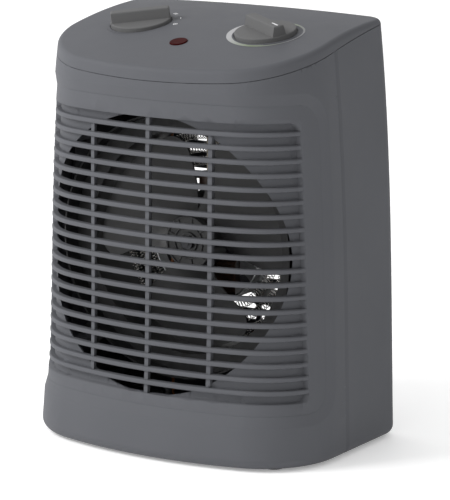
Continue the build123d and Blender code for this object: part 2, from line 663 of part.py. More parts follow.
def control_body(plane, size):
    """Body below the control plate, with the bush that its shaft turns in."""
    body = block_on(plane, size, (0, 0, PLATE_BOTTOM - size[2] / 2))
    body += along(plane, 0, 0, PLATE_BOTTOM - 1.0, BUSH_TOP, BUSH_RADIUS)
    return body - along(plane, 0, 0, PLATE_BOTTOM - size[2] + 1.9, 1.0, SHAFT_RADIUS + RUNNING_FIT)


save(control_body(left_plane, SWITCH_SIZE), "selector_switch")
save(control_body(right_plane, THERMOSTAT_SIZE), "thermostat_body")
save(shaft_on(left_plane, SWITCH_SIZE[2]), "selector_shaft")
save(shaft_on(right_plane, THERMOSTAT_SIZE[2]), "thermostat_spindle")

STRIP_SIZE = (42.0, 9.0, 0.8)
strip_z = PLATE_BOTTOM - THERMOSTAT_SIZE[2] - 1.5
with BuildPart() as bimetal_strip:
    add(block_on(right_plane, STRIP_SIZE, (6.0, 0, strip_z)))
    rivet_post = along(right_plane, -9.0, 0, strip_z, PLATE_BOTTOM - THERMOSTAT_SIZE[2], 2.2)
    add(rivet_post)
save(bimetal_strip.part, "bimetal_strip")

tags = []
for row in (-1, 0, 1):
    tag_place = (row * 9.0, -SWITCH_SIZE[1] / 2 + 4.0, PLATE_BOTTOM - SWITCH_SIZE[2] - 4.0)
    tags.append(block_on(left_plane, (6.3, 0.8, 8.0), tag_place))
    tags.append(block_on(left_plane, (6.3, 0.8, 8.0), (tag_place[0], -tag_place[1], tag_place[2])))
save(Compound(tags), "switch_tags")

with BuildPart() as control_plate:
    add(block_on(shelf_plane, (*PLATE_SIZE, PLATE_THICKNESS), (0, 0, PLATE_TOP - PLATE_THICKNESS / 2)))
    for x in (-KNOB_X, KNOB_X):
        add(along(shelf_plane, x, 0, PLATE_BOTTOM - 1.0, 0.0, BUSH_RADIUS + FIT), mode=Mode.SUBTRACT)
    for x, y in PLATE_POSTS:
        hole = along(shelf_plane, x, y, PLATE_BOTTOM - 1.0, 0.0, PLATE_SCREW_RADIUS + FIT)
        add(hole, mode=Mode.SUBTRACT)
save(control_plate.part, "control_plate")

NUT_BOTTOM = PLATE_TOP + 0.7
NUT_TOP = BUSH_TOP + 0.2


def nut_on(plane):
    hexagon = extrude(Pos(0, 0, NUT_BOTTOM) * RegularPolygon(7.0, 6, mode=Mode.PRIVATE), NUT_TOP - NUT_BOTTOM)
    return plane.location * (hexagon - post(0, 0, PLATE_TOP, 0, BUSH_RADIUS + THREAD_FIT))


save(Compound([nut_on(left_plane), nut_on(right_plane)]), "bush_nuts")


def screw_on(plane, x, y, head_z, tip_z, radius, head_radius):
    """Pan-headed screw pointing up a control plane's normal."""
    shank = along(plane, x, y, head_z, tip_z, radius)
    head = along(plane, x, y, head_z - radius * 1.3, head_z, head_radius)
    return shank + head


plate_screws = [
    screw_on(shelf_plane, x, y, PLATE_BOTTOM - 0.05, -SKIN - 2.0, PLATE_SCREW_RADIUS, 2.8)
    for x, y in PLATE_POSTS
]
save(Compound(plate_screws), "plate_screws")

with BuildPart() as pilot_lens:
    add(post(0, 0, -SKIN - LAMP_FLANGE, 0.9, LAMP_RADIUS))
    fillet(pilot_lens.faces().sort_by(Axis.Z)[-1].edges(), 0.8)
    add(post(0, 0, -SKIN - LAMP_FLANGE - 0.2, -SKIN - 0.2, LAMP_RADIUS + LAMP_FLANGE))
    add(post(0, 0, -2 * SKIN, -1.0, LAMP_RADIUS - LAMP_FLANGE), mode=Mode.SUBTRACT)
save(lamp_plane.location * pilot_lens.part, "pilot_lens")

LAMP_HOLDER_TOP = -SKIN - LAMP_FLANGE - 0.3
NEON_RADIUS = 2.6
with BuildPart() as lamp_holder:
    add(post(0, 0, LAMP_HOLDER_TOP - 14.0, LAMP_HOLDER_TOP, LAMP_RADIUS))
    add(post(0, 0, LAMP_HOLDER_TOP - 12.0, LAMP_HOLDER_TOP + 1.0, NEON_RADIUS + FIT), mode=Mode.SUBTRACT)
save(lamp_plane.location * lamp_holder.part, "lamp_holder")

with BuildPart() as neon_lamp:
    add(post(0, 0, LAMP_HOLDER_TOP - 11.9, LAMP_HOLDER_TOP + 1.6, NEON_RADIUS))
    fillet(neon_lamp.faces().sort_by(Axis.Z)[-1].edges(), NEON_RADIUS * 0.8)
save(lamp_plane.location * neon_lamp.part, "neon_lamp")

# ---- base plate, feet and screws ----
PLATE_LEVEL = FLOOR_TOP + 0.1
BASE_TOP = PLATE_LEVEL + BASE_PLATE_THICKNESS
with BuildPart() as base_plate:
    with BuildSketch(Plane.XY.offset(PLATE_LEVEL)):
        add(plan_section(0.0, BASE_PLATE_INSET))
    extrude(amount=BASE_PLATE_THICKNESS)
    for x, y in BASE_SCREWS:
        add(post(x, y, BASE_TOP - 1.0, BASE_TOP + 7.0, 4.0))
    for x, y in BASE_SCREWS:
        add(post(x, y, 0.0, BASE_TOP + 6.0, BASE_SCREW_RADIUS + THREAD_FIT), mode=Mode.SUBTRACT)
save(base_plate.part, "base_plate")


def foot(x, y):
    pad = post(x, y, 0.0, FOOT_HEIGHT, FOOT_RADIUS)
    pad = pad.chamfer(0.5, None, pad.edges().sort_by(Axis.Z)[:1])
    return pad + post(x, y, 0.0, PLATE_LEVEL - 0.2, FOOT_STEM_RADIUS)


save(Compound([foot(x, y) for x, y in FEET]), "rubber_feet")


def base_screw(x, y):
    shank = post(x, y, FOOT_HEIGHT + 0.3, BASE_TOP + 5.0, BASE_SCREW_RADIUS)
    head = Cone(BASE_SCREW_RADIUS * 2, BASE_SCREW_RADIUS, BASE_SCREW_RADIUS, mode=Mode.PRIVATE)
    return shank + Pos(x, y, FOOT_HEIGHT + 0.15 + BASE_SCREW_RADIUS / 2) * head


save(Compound([base_screw(x, y) for x, y in BASE_SCREWS]), "base_screws")


def screw_back(x, z, seat, length, radius, head_radius, head_height):
    """Pan-headed screw driven in from the back, its head seated at seat."""
    return rod(x, z, seat - length, seat, radius) + rod(x, z, seat, seat + head_height, head_radius)


shell_screws = [
    screw_back(x, z, HEAD_SEAT + 0.05, SHELL_SCREW_LENGTH, SHELL_SCREW_RADIUS, SHELL_HEAD_RADIUS, 2.6)
    for x, z in SHELL_SCREWS
]
save(Compound(shell_screws), "shell_screws")

# ---- cord bushing and terminal block ----
cord_bushing = turned(
    [
        (BACK - 14.0, CORD_BORE_RADIUS),
        (BACK - 14.0, BUSHING_RADIUS),
        (BACK - BUSHING_RECESS + 0.05, BUSHING_RADIUS),
        (BACK - BUSHING_RECESS + 0.05, BUSHING_FLANGE),
        (BACK, BUSHING_FLANGE),
        (BACK, CORD_BORE_RADIUS),
    ],
    CORD_X,
    CORD_LEVEL,
)
save(cord_bushing, "cord_bushing")

BLOCK_X = 44.0
BLOCK_Y = SEAM + 46.0
BLOCK_SIZE = (34.0, 16.0, 13.0)
BLOCK_WIRE_RADIUS = 1.6
BLOCK_TOP = BASE_TOP + 0.1 + BLOCK_SIZE[2]
pole_xs = [BLOCK_X + step * 10.5 for step in (-1, 0, 1)]
with BuildPart() as terminal_block:
    with BuildSketch(Plane.XY.offset(BASE_TOP + 0.1)):
        with Locations((BLOCK_X, BLOCK_Y)):
            RectangleRounded(BLOCK_SIZE[0], BLOCK_SIZE[1], 1.5)
    extrude(amount=BLOCK_SIZE[2])
    for x in pole_xs:
        add(post(x, BLOCK_Y, BLOCK_TOP - 4.0, BLOCK_TOP + 1.0, 2.6), mode=Mode.SUBTRACT)
        wire_way = rod(x, BASE_TOP + 7.0, BLOCK_Y - FAR / 40, BLOCK_Y + FAR / 40, BLOCK_WIRE_RADIUS)
        add(wire_way, mode=Mode.SUBTRACT)
save(terminal_block.part, "terminal_block")
save(Compound([post(x, BLOCK_Y, BLOCK_TOP - 3.9, BLOCK_TOP - 1.0, 2.4) for x in pole_xs]), "terminal_screws")

# ---- air duct with its ears and rear flange ----
DUCT_STEP = FRONT + 66.4      # the wide drum ends here and the fan's barrel starts
DUCT_END = FRONT + 116.8
BARREL_RADIUS = FAN_RADIUS + FAN_CLEARANCE
FLANGE_RADIUS = BARREL_RADIUS + 10.0
FLANGE_SCREW_CIRCLE = BARREL_RADIUS + 5.75
FLANGE_SCREW_RADIUS = 1.5
BOARD_START = FRONT + BOARD_FRONT
BOARD_END = BOARD_START + BOARD_DEPTH
COIL_Y = BOARD_START + BOARD_DEPTH / 2
TAB_HALF = 4.0
TAB_REACH = BARREL_RADIUS + DUCT_WALL + 1.5

ears = []
for x, z in diagonal_places(POST_CIRCLE):
    pad = rod(x, z, DUCT_Y, DUCT_Y + EAR_THICKNESS, 6.0)
    neck = slab((-9.0, DUCT_Y, DUCT_RADIUS + DUCT_WALL / 2), (9.0, DUCT_Y + EAR_THICKNESS, POST_CIRCLE))
    turn = degrees(atan2(z - FAN_HEIGHT, x)) - 90
    ears.append(pad + Pos(0, 0, FAN_HEIGHT) * Rot(0, -turn, 0) * neck)

with BuildPart() as air_duct:
    add(
        turned(
            [
                (DUCT_Y, DUCT_RADIUS),
                (DUCT_Y, DUCT_RADIUS + DUCT_WALL),
                (DUCT_STEP + DUCT_WALL, DUCT_RADIUS + DUCT_WALL),
                (DUCT_STEP + DUCT_WALL, BARREL_RADIUS + DUCT_WALL),
                (DUCT_END - DUCT_WALL, BARREL_RADIUS + DUCT_WALL),
                (DUCT_END - DUCT_WALL, FLANGE_RADIUS),
                (DUCT_END, FLANGE_RADIUS),
                (DUCT_END, BARREL_RADIUS),
                (DUCT_STEP, BARREL_RADIUS),
                (DUCT_STEP, DUCT_RADIUS),
            ]
        )
    )
    add(ears)
    for x, z in diagonal_places(POST_CIRCLE):
        add(rod(x, z, DUCT_Y - 1.0, DUCT_Y + 4.0, EAR_SCREW_RADIUS + FIT), mode=Mode.SUBTRACT)
    for x, z in diagonal_places(FLANGE_SCREW_CIRCLE):
        add(rod(x, z, DUCT_END - 4.0, DUCT_END + 1.0, FLANGE_SCREW_RADIUS + THREAD_FIT), mode=Mode.SUBTRACT)
    for quarter in (0, 90, 180, 270):
        tab_low = (BARREL_RADIUS - 2.0, COIL_Y - TAB_HALF - FIT, -BOARD_THICKNESS / 2 - 0.15)
        tab_high = (BARREL_RADIUS + 4.0, COIL_Y + TAB_HALF + FIT, BOARD_THICKNESS / 2 + 0.15)
        tab_slot = Pos(0, 0, FAN_HEIGHT) * Rot(0, quarter, 0) * slab(tab_low, tab_high)
        add(tab_slot, mode=Mode.SUBTRACT)
save(air_duct.part, "air_duct")

duct_screws = [
    screw_back(x, z, DUCT_Y + EAR_THICKNESS + 0.05, EAR_SCREW_LENGTH, EAR_SCREW_RADIUS, 3.0, 2.0)
    for x, z in diagonal_places(POST_CIRCLE)
]
save(Compound(duct_screws), "duct_screws")

# ---- heater: four mica boards round a sleeve, three wound rings, cut-out and fuse ----
with BuildPart() as mica_board:
    with BuildSketch(Plane.XY.offset(-BOARD_THICKNESS / 2)):
        board_low = SLEEVE_RADIUS + FIT
        board_high = BARREL_RADIUS - FIT
        with Locations(((board_low + board_high) / 2, COIL_Y)):
            Rectangle(board_high - board_low, BOARD_DEPTH)
        with Locations(((board_low + TAB_REACH) / 2, COIL_Y)):
            Rectangle(TAB_REACH - board_low, 2 * TAB_HALF)
        with Locations([(ring, COIL_Y) for ring in COIL_RINGS]):
            Circle(COIL_RADIUS + 0.2, mode=Mode.SUBTRACT)
    extrude(amount=BOARD_THICKNESS)

boards = [Pos(0, 0, FAN_HEIGHT) * Rot(0, quarter, 0) * mica_board.part for quarter in (0, 90, 180, 270)]
save(Compound(boards), "mica_boards")

save(
    rod(0, FAN_HEIGHT, BOARD_START, BOARD_START + SLEEVE_DEPTH, SLEEVE_RADIUS)
    - rod(0, FAN_HEIGHT, BOARD_START - 1.0, BOARD_END, SLEEVE_RADIUS - SLEEVE_WALL),
    "heat_sleeve",
)


def heating_ring(radius):
    facing = Plane((0, COIL_Y, FAN_HEIGHT), x_dir=(1, 0, 0), z_dir=(0, -1, 0)).location
    return facing * Torus(radius, COIL_RADIUS, mode=Mode.PRIVATE)


save(heating_ring(COIL_RINGS[0]), "heating_coil_inner")
save(heating_ring(COIL_RINGS[1]), "heating_coil_middle")
save(heating_ring(COIL_RINGS[2]), "heating_coil_outer")

CUTOUT_RISE = 41.0            # both cut-outs hang inside the sleeve, off the fan axis
FUSE_X = -46.0
cutout_low = FAN_HEIGHT + CUTOUT_RISE
cutout_body = slab((-9.0, BOARD_START + 2.0, cutout_low), (9.0, BOARD_START + 10.0, cutout_low + 7.0))
cutout_cap = rod(0, cutout_low + 3.5, BOARD_START + 0.5, BOARD_START + 3.0, 3.4)
save(cutout_body + cutout_cap, "thermal_cutout")
fuse_y = BOARD_START + 5.5
fuse = post(FUSE_X, fuse_y, FAN_HEIGHT - 6.0, FAN_HEIGHT + 6.0, 2.2)
save(fuse + post(FUSE_X, fuse_y, FAN_HEIGHT - 11.0, FAN_HEIGHT + 11.0, 0.5), "thermal_fuse")

# ---- fan: hub with three broad blades on a spin axis along Y ----
HUB_Y = FRONT + HUB_FRONT
HUB_BACK = HUB_Y + HUB_LENGTH
BLADE_SPAN = 95.0             # angle covered by one blade
BLADE_LEAD = -16.0            # first blade's clockwise edge, seen from the front
BLADE_PITCH = 80.0            # travel of the blade's screw surface in one turn
BLADE_SWEPT = 0.32            # turns of screw surface made before trimming
TIP_ROUND = 14.0
HUB_WALL = 2.0
HUB_BOSS_RADIUS = 6.0
FRONT_VIEW = Plane((0, 0, FAN_HEIGHT), x_dir=(1, 0, 0), z_dir=(0, -1, 0))


def polar(radius, angle):
    return radius * cos(radians(angle)), radius * sin(radians(angle))


def screw_sheet():
    """Thin screw surface from straight above the axis round to the right and back."""
    with BuildPart() as sheet:
        with BuildLine() as path:
            Helix(BLADE_PITCH, BLADE_PITCH * BLADE_SWEPT, FAN_RADIUS * 0.62, direction=(0, 1, 0))
        with BuildSketch(Plane(path.line @ 0, x_dir=(0, 0, 1), z_dir=path.line % 0)):
            Rectangle(FAN_RADIUS * 0.82, BLADE_THICKNESS)
        sweep(path=path.line, is_frenet=True)
    middle_turn = (90 - BLADE_LEAD - BLADE_SPAN / 2) / 360
    return Pos(0, (HUB_Y + HUB_BACK) / 2 - middle_turn * BLADE_PITCH, FAN_HEIGHT) * sheet.part


def blade_planform():
    """Prism along the spin axis with the outline of one blade."""
    lead = BLADE_LEAD
    trail = BLADE_LEAD + BLADE_SPAN
    root = HUB_RADIUS - HUB_WALL / 2
    with BuildPart() as prism:
        with BuildSketch(FRONT_VIEW) as outline:
            with BuildLine():
                ThreePointArc(polar(root, lead), polar(FAN_RADIUS * 0.6, lead - 4), polar(FAN_RADIUS, lead))
                ThreePointArc(
                    polar(FAN_RADIUS, lead),
                    polar(FAN_RADIUS, lead + BLADE_SPAN / 2),
                    polar(FAN_RADIUS, trail),
                )
                ThreePointArc(
                    polar(FAN_RADIUS, trail), polar(FAN_RADIUS * 0.6, trail - 7), polar(root, trail)
                )
                ThreePointArc(polar(root, trail), polar(root, lead + BLADE_SPAN / 2), polar(root, lead))
            make_face()
            tips = [corner for corner in outline.vertices() if hypot(corner.X, corner.Y) > FAN_RADIUS / 2]
            fillet(tips, TIP_ROUND)
        extrude(amount=DEPTH / 2, both=True)
    return prism.part


blade = screw_sheet() & blade_planform()
FAN_LINE = Axis((0, 0, FAN_HEIGHT), (0, 1, 0))
hub = turned(
    [
        (HUB_Y, MOTOR_SHAFT_RADIUS + 0.03),
        (HUB_Y, HUB_RADIUS - 2.0),
        (HUB_Y + 2.0, HUB_RADIUS),
        (HUB_BACK, HUB_RADIUS),
        (HUB_BACK, HUB_RADIUS - HUB_WALL),
        (HUB_Y + HUB_WALL, HUB_RADIUS - HUB_WALL - 0.5),
        (HUB_Y + HUB_WALL, HUB_BOSS_RADIUS),
        (HUB_BACK - 1.0, HUB_BOSS_RADIUS),
        (HUB_BACK - 1.0, MOTOR_SHAFT_RADIUS + 0.03),
    ]
)
with BuildPart() as fan_impeller:
    add(hub)
    add([blade.rotate(FAN_LINE, -360 / BLADE_COUNT * n) for n in range(BLADE_COUNT)])
save(fan_impeller.part, "fan_impeller")

CLIP_THICKNESS = 3.4
save(
    rod(0, FAN_HEIGHT, HUB_Y - CLIP_THICKNESS - 0.1, HUB_Y - 0.1, 5.0)
    - rod(0, FAN_HEIGHT, HUB_Y - FAR / 20, HUB_Y, MOTOR_SHAFT_RADIUS + 0.02),
    "fan_clip",
)

# ---- shaded-pole motor: stack, winding, rotor, bearings and their brackets ----
MOTOR_SCREW_X = 26.0
MOTOR_SCREW_RADIUS = 1.85
MOUNT_Y = DUCT_END + 0.1
MOUNT_THICKNESS = 1.5
STACK_Y = MOUNT_Y + MOUNT_THICKNESS + 0.1
STACK_END = STACK_Y + STACK_LENGTH
STACK_BELOW = 42.0
STACK_ABOVE = 24.0
WINDOW_HALF = 19.5
WINDOW_LOW = 29.0
WINDOW_HIGH = 19.0
MOUNT_RING = (20.0, 38.0)     # inner and outer radius of the spider's ring
MOUNT_ARM = 12.0
BRACKET_BAR = 3.0
BRACKET_HALF = 7.0
BEARING_RADIUS = 5.0
FRONT_BAR_Y = STACK_Y - 11.1
REAR_BAR_Y = STACK_END + 6.9
SHAFT_FRONT = HUB_Y - CLIP_THICKNESS - 1.0
SHAFT_BACK = REAR_BAR_Y + 8.0


def motor_holes(low_y, high_y, radius):
    return [rod(side * MOTOR_SCREW_X, FAN_HEIGHT, low_y, high_y, radius) for side in (-1, 1)]


def square_on_axis(half_x, below, above, low_y, high_y):
    return slab((-half_x, low_y, FAN_HEIGHT - below), (half_x, high_y, FAN_HEIGHT + above))


with BuildPart() as motor_bracket:
    add(rod(0, FAN_HEIGHT, MOUNT_Y, MOUNT_Y + MOUNT_THICKNESS, MOUNT_RING[1]))
    for turn in (45, 135):
        reach = FLANGE_RADIUS - 1.0
        arm = slab((-reach, MOUNT_Y, -MOUNT_ARM / 2), (reach, MOUNT_Y + MOUNT_THICKNESS, MOUNT_ARM / 2))
        add(Pos(0, 0, FAN_HEIGHT) * Rot(0, turn, 0) * arm)
    add(rod(0, FAN_HEIGHT, MOUNT_Y - 1.0, STACK_Y, MOUNT_RING[0]), mode=Mode.SUBTRACT)
    add(
        square_on_axis(WINDOW_HALF - 1.0, STACK_BELOW + 10.0, -WINDOW_HIGH, MOUNT_Y - 1.0, STACK_Y),
        mode=Mode.SUBTRACT,
    )
    add(motor_holes(MOUNT_Y - 1.0, STACK_Y, MOTOR_SCREW_RADIUS + 0.1), mode=Mode.SUBTRACT)
    for x, z in diagonal_places(FLANGE_SCREW_CIRCLE):
        add(rod(x, z, MOUNT_Y - 1.0, STACK_Y, FLANGE_SCREW_RADIUS + FIT), mode=Mode.SUBTRACT)
save(motor_bracket.part, "motor_bracket")

mount_screws = [
    screw_back(x, z, MOUNT_Y + MOUNT_THICKNESS + 0.05, 5.0, FLANGE_SCREW_RADIUS, 2.8, 1.8)
    for x, z in diagonal_places(FLANGE_SCREW_CIRCLE)
]
save(Compound(mount_screws), "mount_screws")

with BuildPart() as motor_stator:
    add(square_on_axis(STACK_WIDTH / 2, STACK_BELOW, STACK_ABOVE, STACK_Y, STACK_END))
    add(
        square_on_axis(WINDOW_HALF, WINDOW_LOW, -WINDOW_HIGH, STACK_Y - 1.0, STACK_END + 1.0),
        mode=Mode.SUBTRACT,
    )
    add(rod(0, FAN_HEIGHT, STACK_Y - 1.0, STACK_END + 1.0, ROTOR_RADIUS + AIR_GAP), mode=Mode.SUBTRACT)
    add(motor_holes(STACK_Y - 1.0, STACK_END + 1.0, MOTOR_SCREW_RADIUS + 0.1), mode=Mode.SUBTRACT)
save(motor_stator.part, "motor_stator")

STACK_MIDDLE = (STACK_Y + STACK_END) / 2
with BuildPart() as motor_winding:
    add(square_on_axis(WINDOW_HALF - 1.5, 50.0, -WINDOW_HIGH - 0.5, STACK_MIDDLE - 17.0, STACK_MIDDLE + 17.0))
    fillet(motor_winding.edges().filter_by(Axis.X), 5.0)
    limb_half = STACK_LENGTH / 2 + FIT
    limb = square_on_axis(
        FAR,
        STACK_BELOW + FIT,
        -WINDOW_LOW + FIT,
        STACK_MIDDLE - limb_half,
        STACK_MIDDLE + limb_half,
    )
    add(limb, mode=Mode.SUBTRACT)
save(motor_winding.part, "motor_winding")

save(
    rod(0, FAN_HEIGHT, STACK_Y - 1.0, STACK_END + 1.0, ROTOR_RADIUS)
    - rod(0, FAN_HEIGHT, STACK_Y - 2.0, STACK_END + 2.0, MOTOR_SHAFT_RADIUS + 0.02),
    "motor_rotor",
)
save(rod(0, FAN_HEIGHT, SHAFT_FRONT, SHAFT_BACK, MOTOR_SHAFT_RADIUS), "motor_shaft")


def bearing_bracket(bar_y, feet_y, outward):
    """U-shaped bracket: a bar across the shaft and a foot each side against the motor."""
    bar = square_on_axis(STACK_WIDTH / 2, BRACKET_HALF, BRACKET_HALF, bar_y, bar_y + BRACKET_BAR)
    foot_low = min(bar_y, feet_y)
    foot_high = max(bar_y + BRACKET_BAR, feet_y)
    legs = square_on_axis(STACK_WIDTH / 2, BRACKET_HALF, BRACKET_HALF, foot_low, foot_high)
    legs -= square_on_axis(STACK_WIDTH / 2 - 10.0, FAR, FAR, foot_low - 1.0, foot_high + 1.0)
    boss_y = bar_y + BRACKET_BAR / 2 + outward * 1.0
    boss = rod(0, FAN_HEIGHT, boss_y - 3.25, boss_y + 3.25, BEARING_RADIUS + 2.0)
    piece = bar + legs + boss
    piece -= rod(0, FAN_HEIGHT, boss_y - 4.0, boss_y + 4.0, BEARING_RADIUS + 0.02)
    for hole in motor_holes(foot_low - 1.0, foot_high + 1.0, MOTOR_SCREW_RADIUS + 0.1):
        piece -= hole
    return piece, boss_y


def bearing(boss_y):
    ring = rod(0, FAN_HEIGHT, boss_y - 3.25, boss_y + 3.25, BEARING_RADIUS)
    return ring - rod(0, FAN_HEIGHT, boss_y - 4.0, boss_y + 4.0, MOTOR_SHAFT_RADIUS + RUNNING_FIT)


front_bracket, front_boss_y = bearing_bracket(FRONT_BAR_Y, MOUNT_Y - 0.1 - FIT / 3, -1)
rear_bracket, rear_boss_y = bearing_bracket(REAR_BAR_Y, STACK_END + 0.1, 1)
save(front_bracket, "front_bearing_bracket")
save(rear_bracket, "rear_bearing_bracket")
save(bearing(front_boss_y), "front_bearing")
save(bearing(rear_boss_y), "rear_bearing")

motor_screw_seat = REAR_BAR_Y + BRACKET_BAR + 0.05
motor_screw_length = motor_screw_seat - FRONT_BAR_Y - 1.0
motor_screws = [
    screw_back(
        side * MOTOR_SCREW_X,
        FAN_HEIGHT,
        motor_screw_seat,
        motor_screw_length,
        MOTOR_SCREW_RADIUS,
        3.4,
        2.4,
    )
    for side in (-1, 1)
]
save(Compound(motor_screws), "motor_screws")

# ---- wires between the terminal block, the switch, the thermostat and the motor ----
WIRE_RADIUS = 1.1
WIRE_BEND = 8.0
WIRE_Y = DUCT_END + 4.6
wire_start_z = BASE_TOP + 7.0


def wire(points):
    with BuildPart() as piece:
        with BuildLine() as path:
            FilletPolyline(*points, radius=WIRE_BEND)
        with BuildSketch(Plane(path.line @ 0, z_dir=path.line % 0)):
            Circle(WIRE_RADIUS)
        sweep(path=path.line)
    return piece.part


def on_control(plane, x, y, z):
    place = plane.location * Pos(x, y, z)
    return tuple(place.position)


thermostat_end = on_control(
    right_plane,
    -6.0,
    THERMOSTAT_SIZE[1] / 2 + 0.4,
    PLATE_BOTTOM - THERMOSTAT_SIZE[2] / 2,
)
selector_end = on_control(left_plane, 9.0, SWITCH_SIZE[1] / 2 - 4.0, PLATE_BOTTOM - SWITCH_SIZE[2] - 8.6)
winding_low = FAN_HEIGHT - 50.4
wires = [
    wire(
        [
            (pole_xs[2], BLOCK_Y - 3.0, wire_start_z),
            (pole_xs[2], WIRE_Y, wire_start_z),
            (pole_xs[2], WIRE_Y, thermostat_end[2]),
            thermostat_end,
        ]
    ),
    wire(
        [
            (pole_xs[0], BLOCK_Y - 3.0, wire_start_z),
            (pole_xs[0], WIRE_Y, wire_start_z),
            (selector_end[0], WIRE_Y, wire_start_z),
            (selector_end[0], WIRE_Y, selector_end[2] - 30.0),
            selector_end,
        ]
    ),
    wire(
        [
            (pole_xs[1], BLOCK_Y - 3.0, wire_start_z),
            (pole_xs[1], WIRE_Y, wire_start_z),
            (pole_xs[1], WIRE_Y, winding_low - 25.0),
            (8.0, WIRE_Y, winding_low - 25.0),
            (8.0, WIRE_Y, winding_low),
        ]
    ),
]
save(Compound(wires), "internal_wires")
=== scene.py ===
import json
import math

import bpy
from mathutils import Matrix, Vector


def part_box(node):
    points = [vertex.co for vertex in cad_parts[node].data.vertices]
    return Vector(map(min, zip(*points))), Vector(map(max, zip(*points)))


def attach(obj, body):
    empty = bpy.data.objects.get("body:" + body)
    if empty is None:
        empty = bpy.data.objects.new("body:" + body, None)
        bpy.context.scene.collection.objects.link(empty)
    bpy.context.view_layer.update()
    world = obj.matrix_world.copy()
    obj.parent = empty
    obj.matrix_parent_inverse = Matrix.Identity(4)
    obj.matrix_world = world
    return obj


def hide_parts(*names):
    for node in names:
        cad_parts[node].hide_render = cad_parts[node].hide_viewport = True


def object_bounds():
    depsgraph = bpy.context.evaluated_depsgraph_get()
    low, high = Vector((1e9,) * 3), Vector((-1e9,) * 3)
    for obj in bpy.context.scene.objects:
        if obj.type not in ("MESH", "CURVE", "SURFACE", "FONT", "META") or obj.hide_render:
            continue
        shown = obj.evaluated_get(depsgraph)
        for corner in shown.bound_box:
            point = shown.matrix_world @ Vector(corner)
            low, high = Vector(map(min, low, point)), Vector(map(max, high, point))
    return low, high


# Looks of a tabletop fan heater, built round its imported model. Metres, +Z up, outlet towards -Y.

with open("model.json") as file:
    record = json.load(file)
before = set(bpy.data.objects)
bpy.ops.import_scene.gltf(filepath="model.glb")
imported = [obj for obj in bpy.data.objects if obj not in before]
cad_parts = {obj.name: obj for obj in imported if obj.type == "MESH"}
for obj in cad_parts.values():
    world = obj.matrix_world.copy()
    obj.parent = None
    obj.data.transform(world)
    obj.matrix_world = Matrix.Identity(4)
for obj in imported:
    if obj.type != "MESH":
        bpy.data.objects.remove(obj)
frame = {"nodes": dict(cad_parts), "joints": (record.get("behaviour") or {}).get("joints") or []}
cad_low, cad_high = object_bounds()
NODES = frame["nodes"]
JOINTS = {joint["name"]: joint for joint in frame["joints"]}
MM = 0.001
HOUSING, FAN, THERMOSTAT_DIAL = "housing", "fan_rotor", "thermostat_dial"


